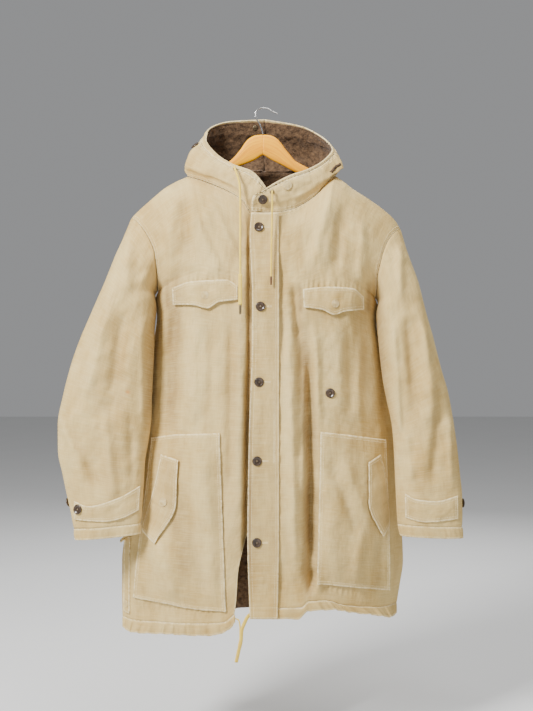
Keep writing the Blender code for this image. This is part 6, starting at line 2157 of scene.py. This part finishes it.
def build_fastenings(shells, laid, tabs, insides, cloth, stitches):
    """Buttons with their thread and buttonholes, press studs and eyelets."""
    materials = {
        "button": button_material("button_brown", BUTTON_BROWN, 0.22),
        "hole": button_material("button_hole_shade", HOLE_SHADE, 0.7),
        "thread": button_material("button_thread", BUTTON_THREAD, 0.7),
    }
    brass = metal_material("brass_dull", BRASS, 0.42)
    placket = skin(shells["placket"])
    right = skin(*laid["right"])
    left_hood = skin(shells["hood_left"], shells["hood_rim_left"])
    right_hood = skin(shells["hood_right"], shells["hood_rim_right"])
    flat = [(button, placket) for button in PLACKET_BUTTONS]
    flat += [(STORM_BUTTON, right), (COLLAR_BUTTON, right_hood), (CUFF_BUTTON, skin(tabs["left"]))]
    for button, surface in flat:
        place, normal = front_of(surface, button.x, button.z)
        seat = place + normal * SEAT
        made = sewn_button(button.name + "_sewn", seat, normal, button.width, materials)
        dress(made, button.name)
    for button in PLACKET_BUTTONS:
        buttonhole(button, shells["placket"], stitches)
    arms = {side: skin(around(shells["sleeve_" + side])) for side in ("left", "right")}
    for name, surface, guess in (
        ("button_cuff_left_back", arms["left"], (-0.436, -0.034, -0.863)),
        ("button_cuff_right", arms["right"], (0.436, -0.040, -0.861)),
        ("button_hood_left", left_hood, (-0.170, 0.012, -0.060)),
    ):
        place, normal, _, _ = surface.find_nearest(Vector(guess))
        made = sewn_button(name + "_sewn", place + normal * SEAT, normal, BUTTON_WIDTH, materials)
        dress(made, name)
    place, normal, _, _ = right_hood.find_nearest(Vector((0.0525, -0.110, -0.182)))
    made = snap_cap("snap_collar_cap", place + normal * CAP_SEAT, normal, BUTTON_WIDTH, cloth)
    stud_wear(made)
    dress(made, "snap_collar")
    place, normal, _, _ = skin(*insides).find_nearest(Vector((-0.020, 0.060, -0.030)))
    made = snap_cap("snap_hood_cap", place + normal * CAP_SEAT, normal, 0.0115, brass)
    dress(made, "snap_hood")
    for name, side, x, z, width in FLAP_SNAPS:
        place, normal = front_of(skin(*laid[side]), x, z)
        made = snap_cap(name + "_cap", place + normal * STUD_SEAT, normal, width, cloth)
        stud_wear(made)
        dress(made, name)
    for number, (name, side, width) in enumerate(
        (("hood_cord_left", "left", HOOD_CORD), ("hood_cord_right", "right", THIN_CORD))
    ):
        surface = left_hood if side == "left" else right_hood
        place, normal = front_of(surface, EYELETS[number].x, EYELETS[number].z)
        inner = width / 2 + SEAT
        made = ring_piece(name + "_ring", place + normal * STUD_SEAT, normal, inner, inner + HOLE_RING,
                          HOLE_RING_HEIGHT, brass)
        dress(made, name + "_eyelet")


def stud_wear(made):
    """The same grey, brown and rubbed values all over a cloth-covered stud, and a map for its cloth."""
    place = points_of(made.data)
    set_wear_and_shade(made.data, np.tile(np.array(STUD_WEAR), (len(place), 1)))
    set_map(made.data, place[:, (0, 2)])


def buttonhole(button, shell_pair, stitches):
    """The close stitches round a level buttonhole, to the right of its button."""
    surface = skin(shell_pair)
    start = button.x + 0.004
    for row in (-0.0011, 0.0011):
        x = np.linspace(start, start + 0.020, 21)
        line = np.stack([x, np.full_like(x, -0.1), np.full_like(x, button.z + row)], axis=1)
        for point in line:
            point[1] = front_of(surface, point[0], point[2])[0].y
        stitches.close(line, surface)


def set_stage():
    """The camera at the photo's angle, soft studio light and a plain pale floor."""
    scene = bpy.context.scene
    camera = bpy.data.cameras.new("camera")
    camera.lens = CAMERA_LENS
    camera.sensor_width = CAMERA_SENSOR
    camera.clip_end = CAMERA_REACH
    eye = new_object("camera", camera)
    eye.location = CAMERA_PLACE
    eye.rotation_euler = (math.pi / 2, 0, 0)
    scene.camera = eye
    for light in LIGHTS:
        lamp = bpy.data.lights.new(light.name, "AREA")
        lamp.size = light.size
        lamp.energy = light.power
        made = new_object(light.name, lamp)
        made.location = light.place
        way = Vector(light.aim) - Vector(light.place)
        made.rotation_mode = "QUATERNION"
        made.rotation_quaternion = way.to_track_quat("-Z", "Y")
    world = bpy.data.worlds.new("studio")
    world.use_nodes = True
    sky = world.node_tree.nodes["Background"]
    sky.inputs["Color"].default_value = SKY
    sky.inputs["Strength"].default_value = SKY_STRENGTH
    scene.world = world
    mesh = bpy.data.meshes.new("floor")
    turns = ((-1, -1), (1, -1), (1, 1), (-1, 1))
    corners = [(x * FLOOR_REACH, y * FLOOR_REACH, FLOOR_HEIGHT) for x, y in turns]
    mesh.from_pydata(corners, [], [(0, 1, 2, 3)])
    new_object("floor", mesh, floor_material())


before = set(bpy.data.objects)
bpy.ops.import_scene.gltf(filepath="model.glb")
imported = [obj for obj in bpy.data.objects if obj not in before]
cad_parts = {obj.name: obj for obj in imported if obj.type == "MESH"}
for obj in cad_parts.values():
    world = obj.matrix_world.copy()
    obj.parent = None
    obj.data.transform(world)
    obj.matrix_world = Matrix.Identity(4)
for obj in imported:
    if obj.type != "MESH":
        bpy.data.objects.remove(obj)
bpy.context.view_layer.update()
set_stage()
build_cords()
sand_cloth = cloth_material()
seams = Stitches()
body_shells, back_grid = build_body(sand_cloth, seams)
pile_insides = build_hood(body_shells, back_grid, sand_cloth, pile_material(), seams)
layers, cuff_tabs = build_pieces(body_shells, sand_cloth, seams)
build_fastenings(body_shells, layers, cuff_tabs, pile_insides, sand_cloth, seams)
build_hanger()
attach(seams.make("stitching", thread_material()), "root")
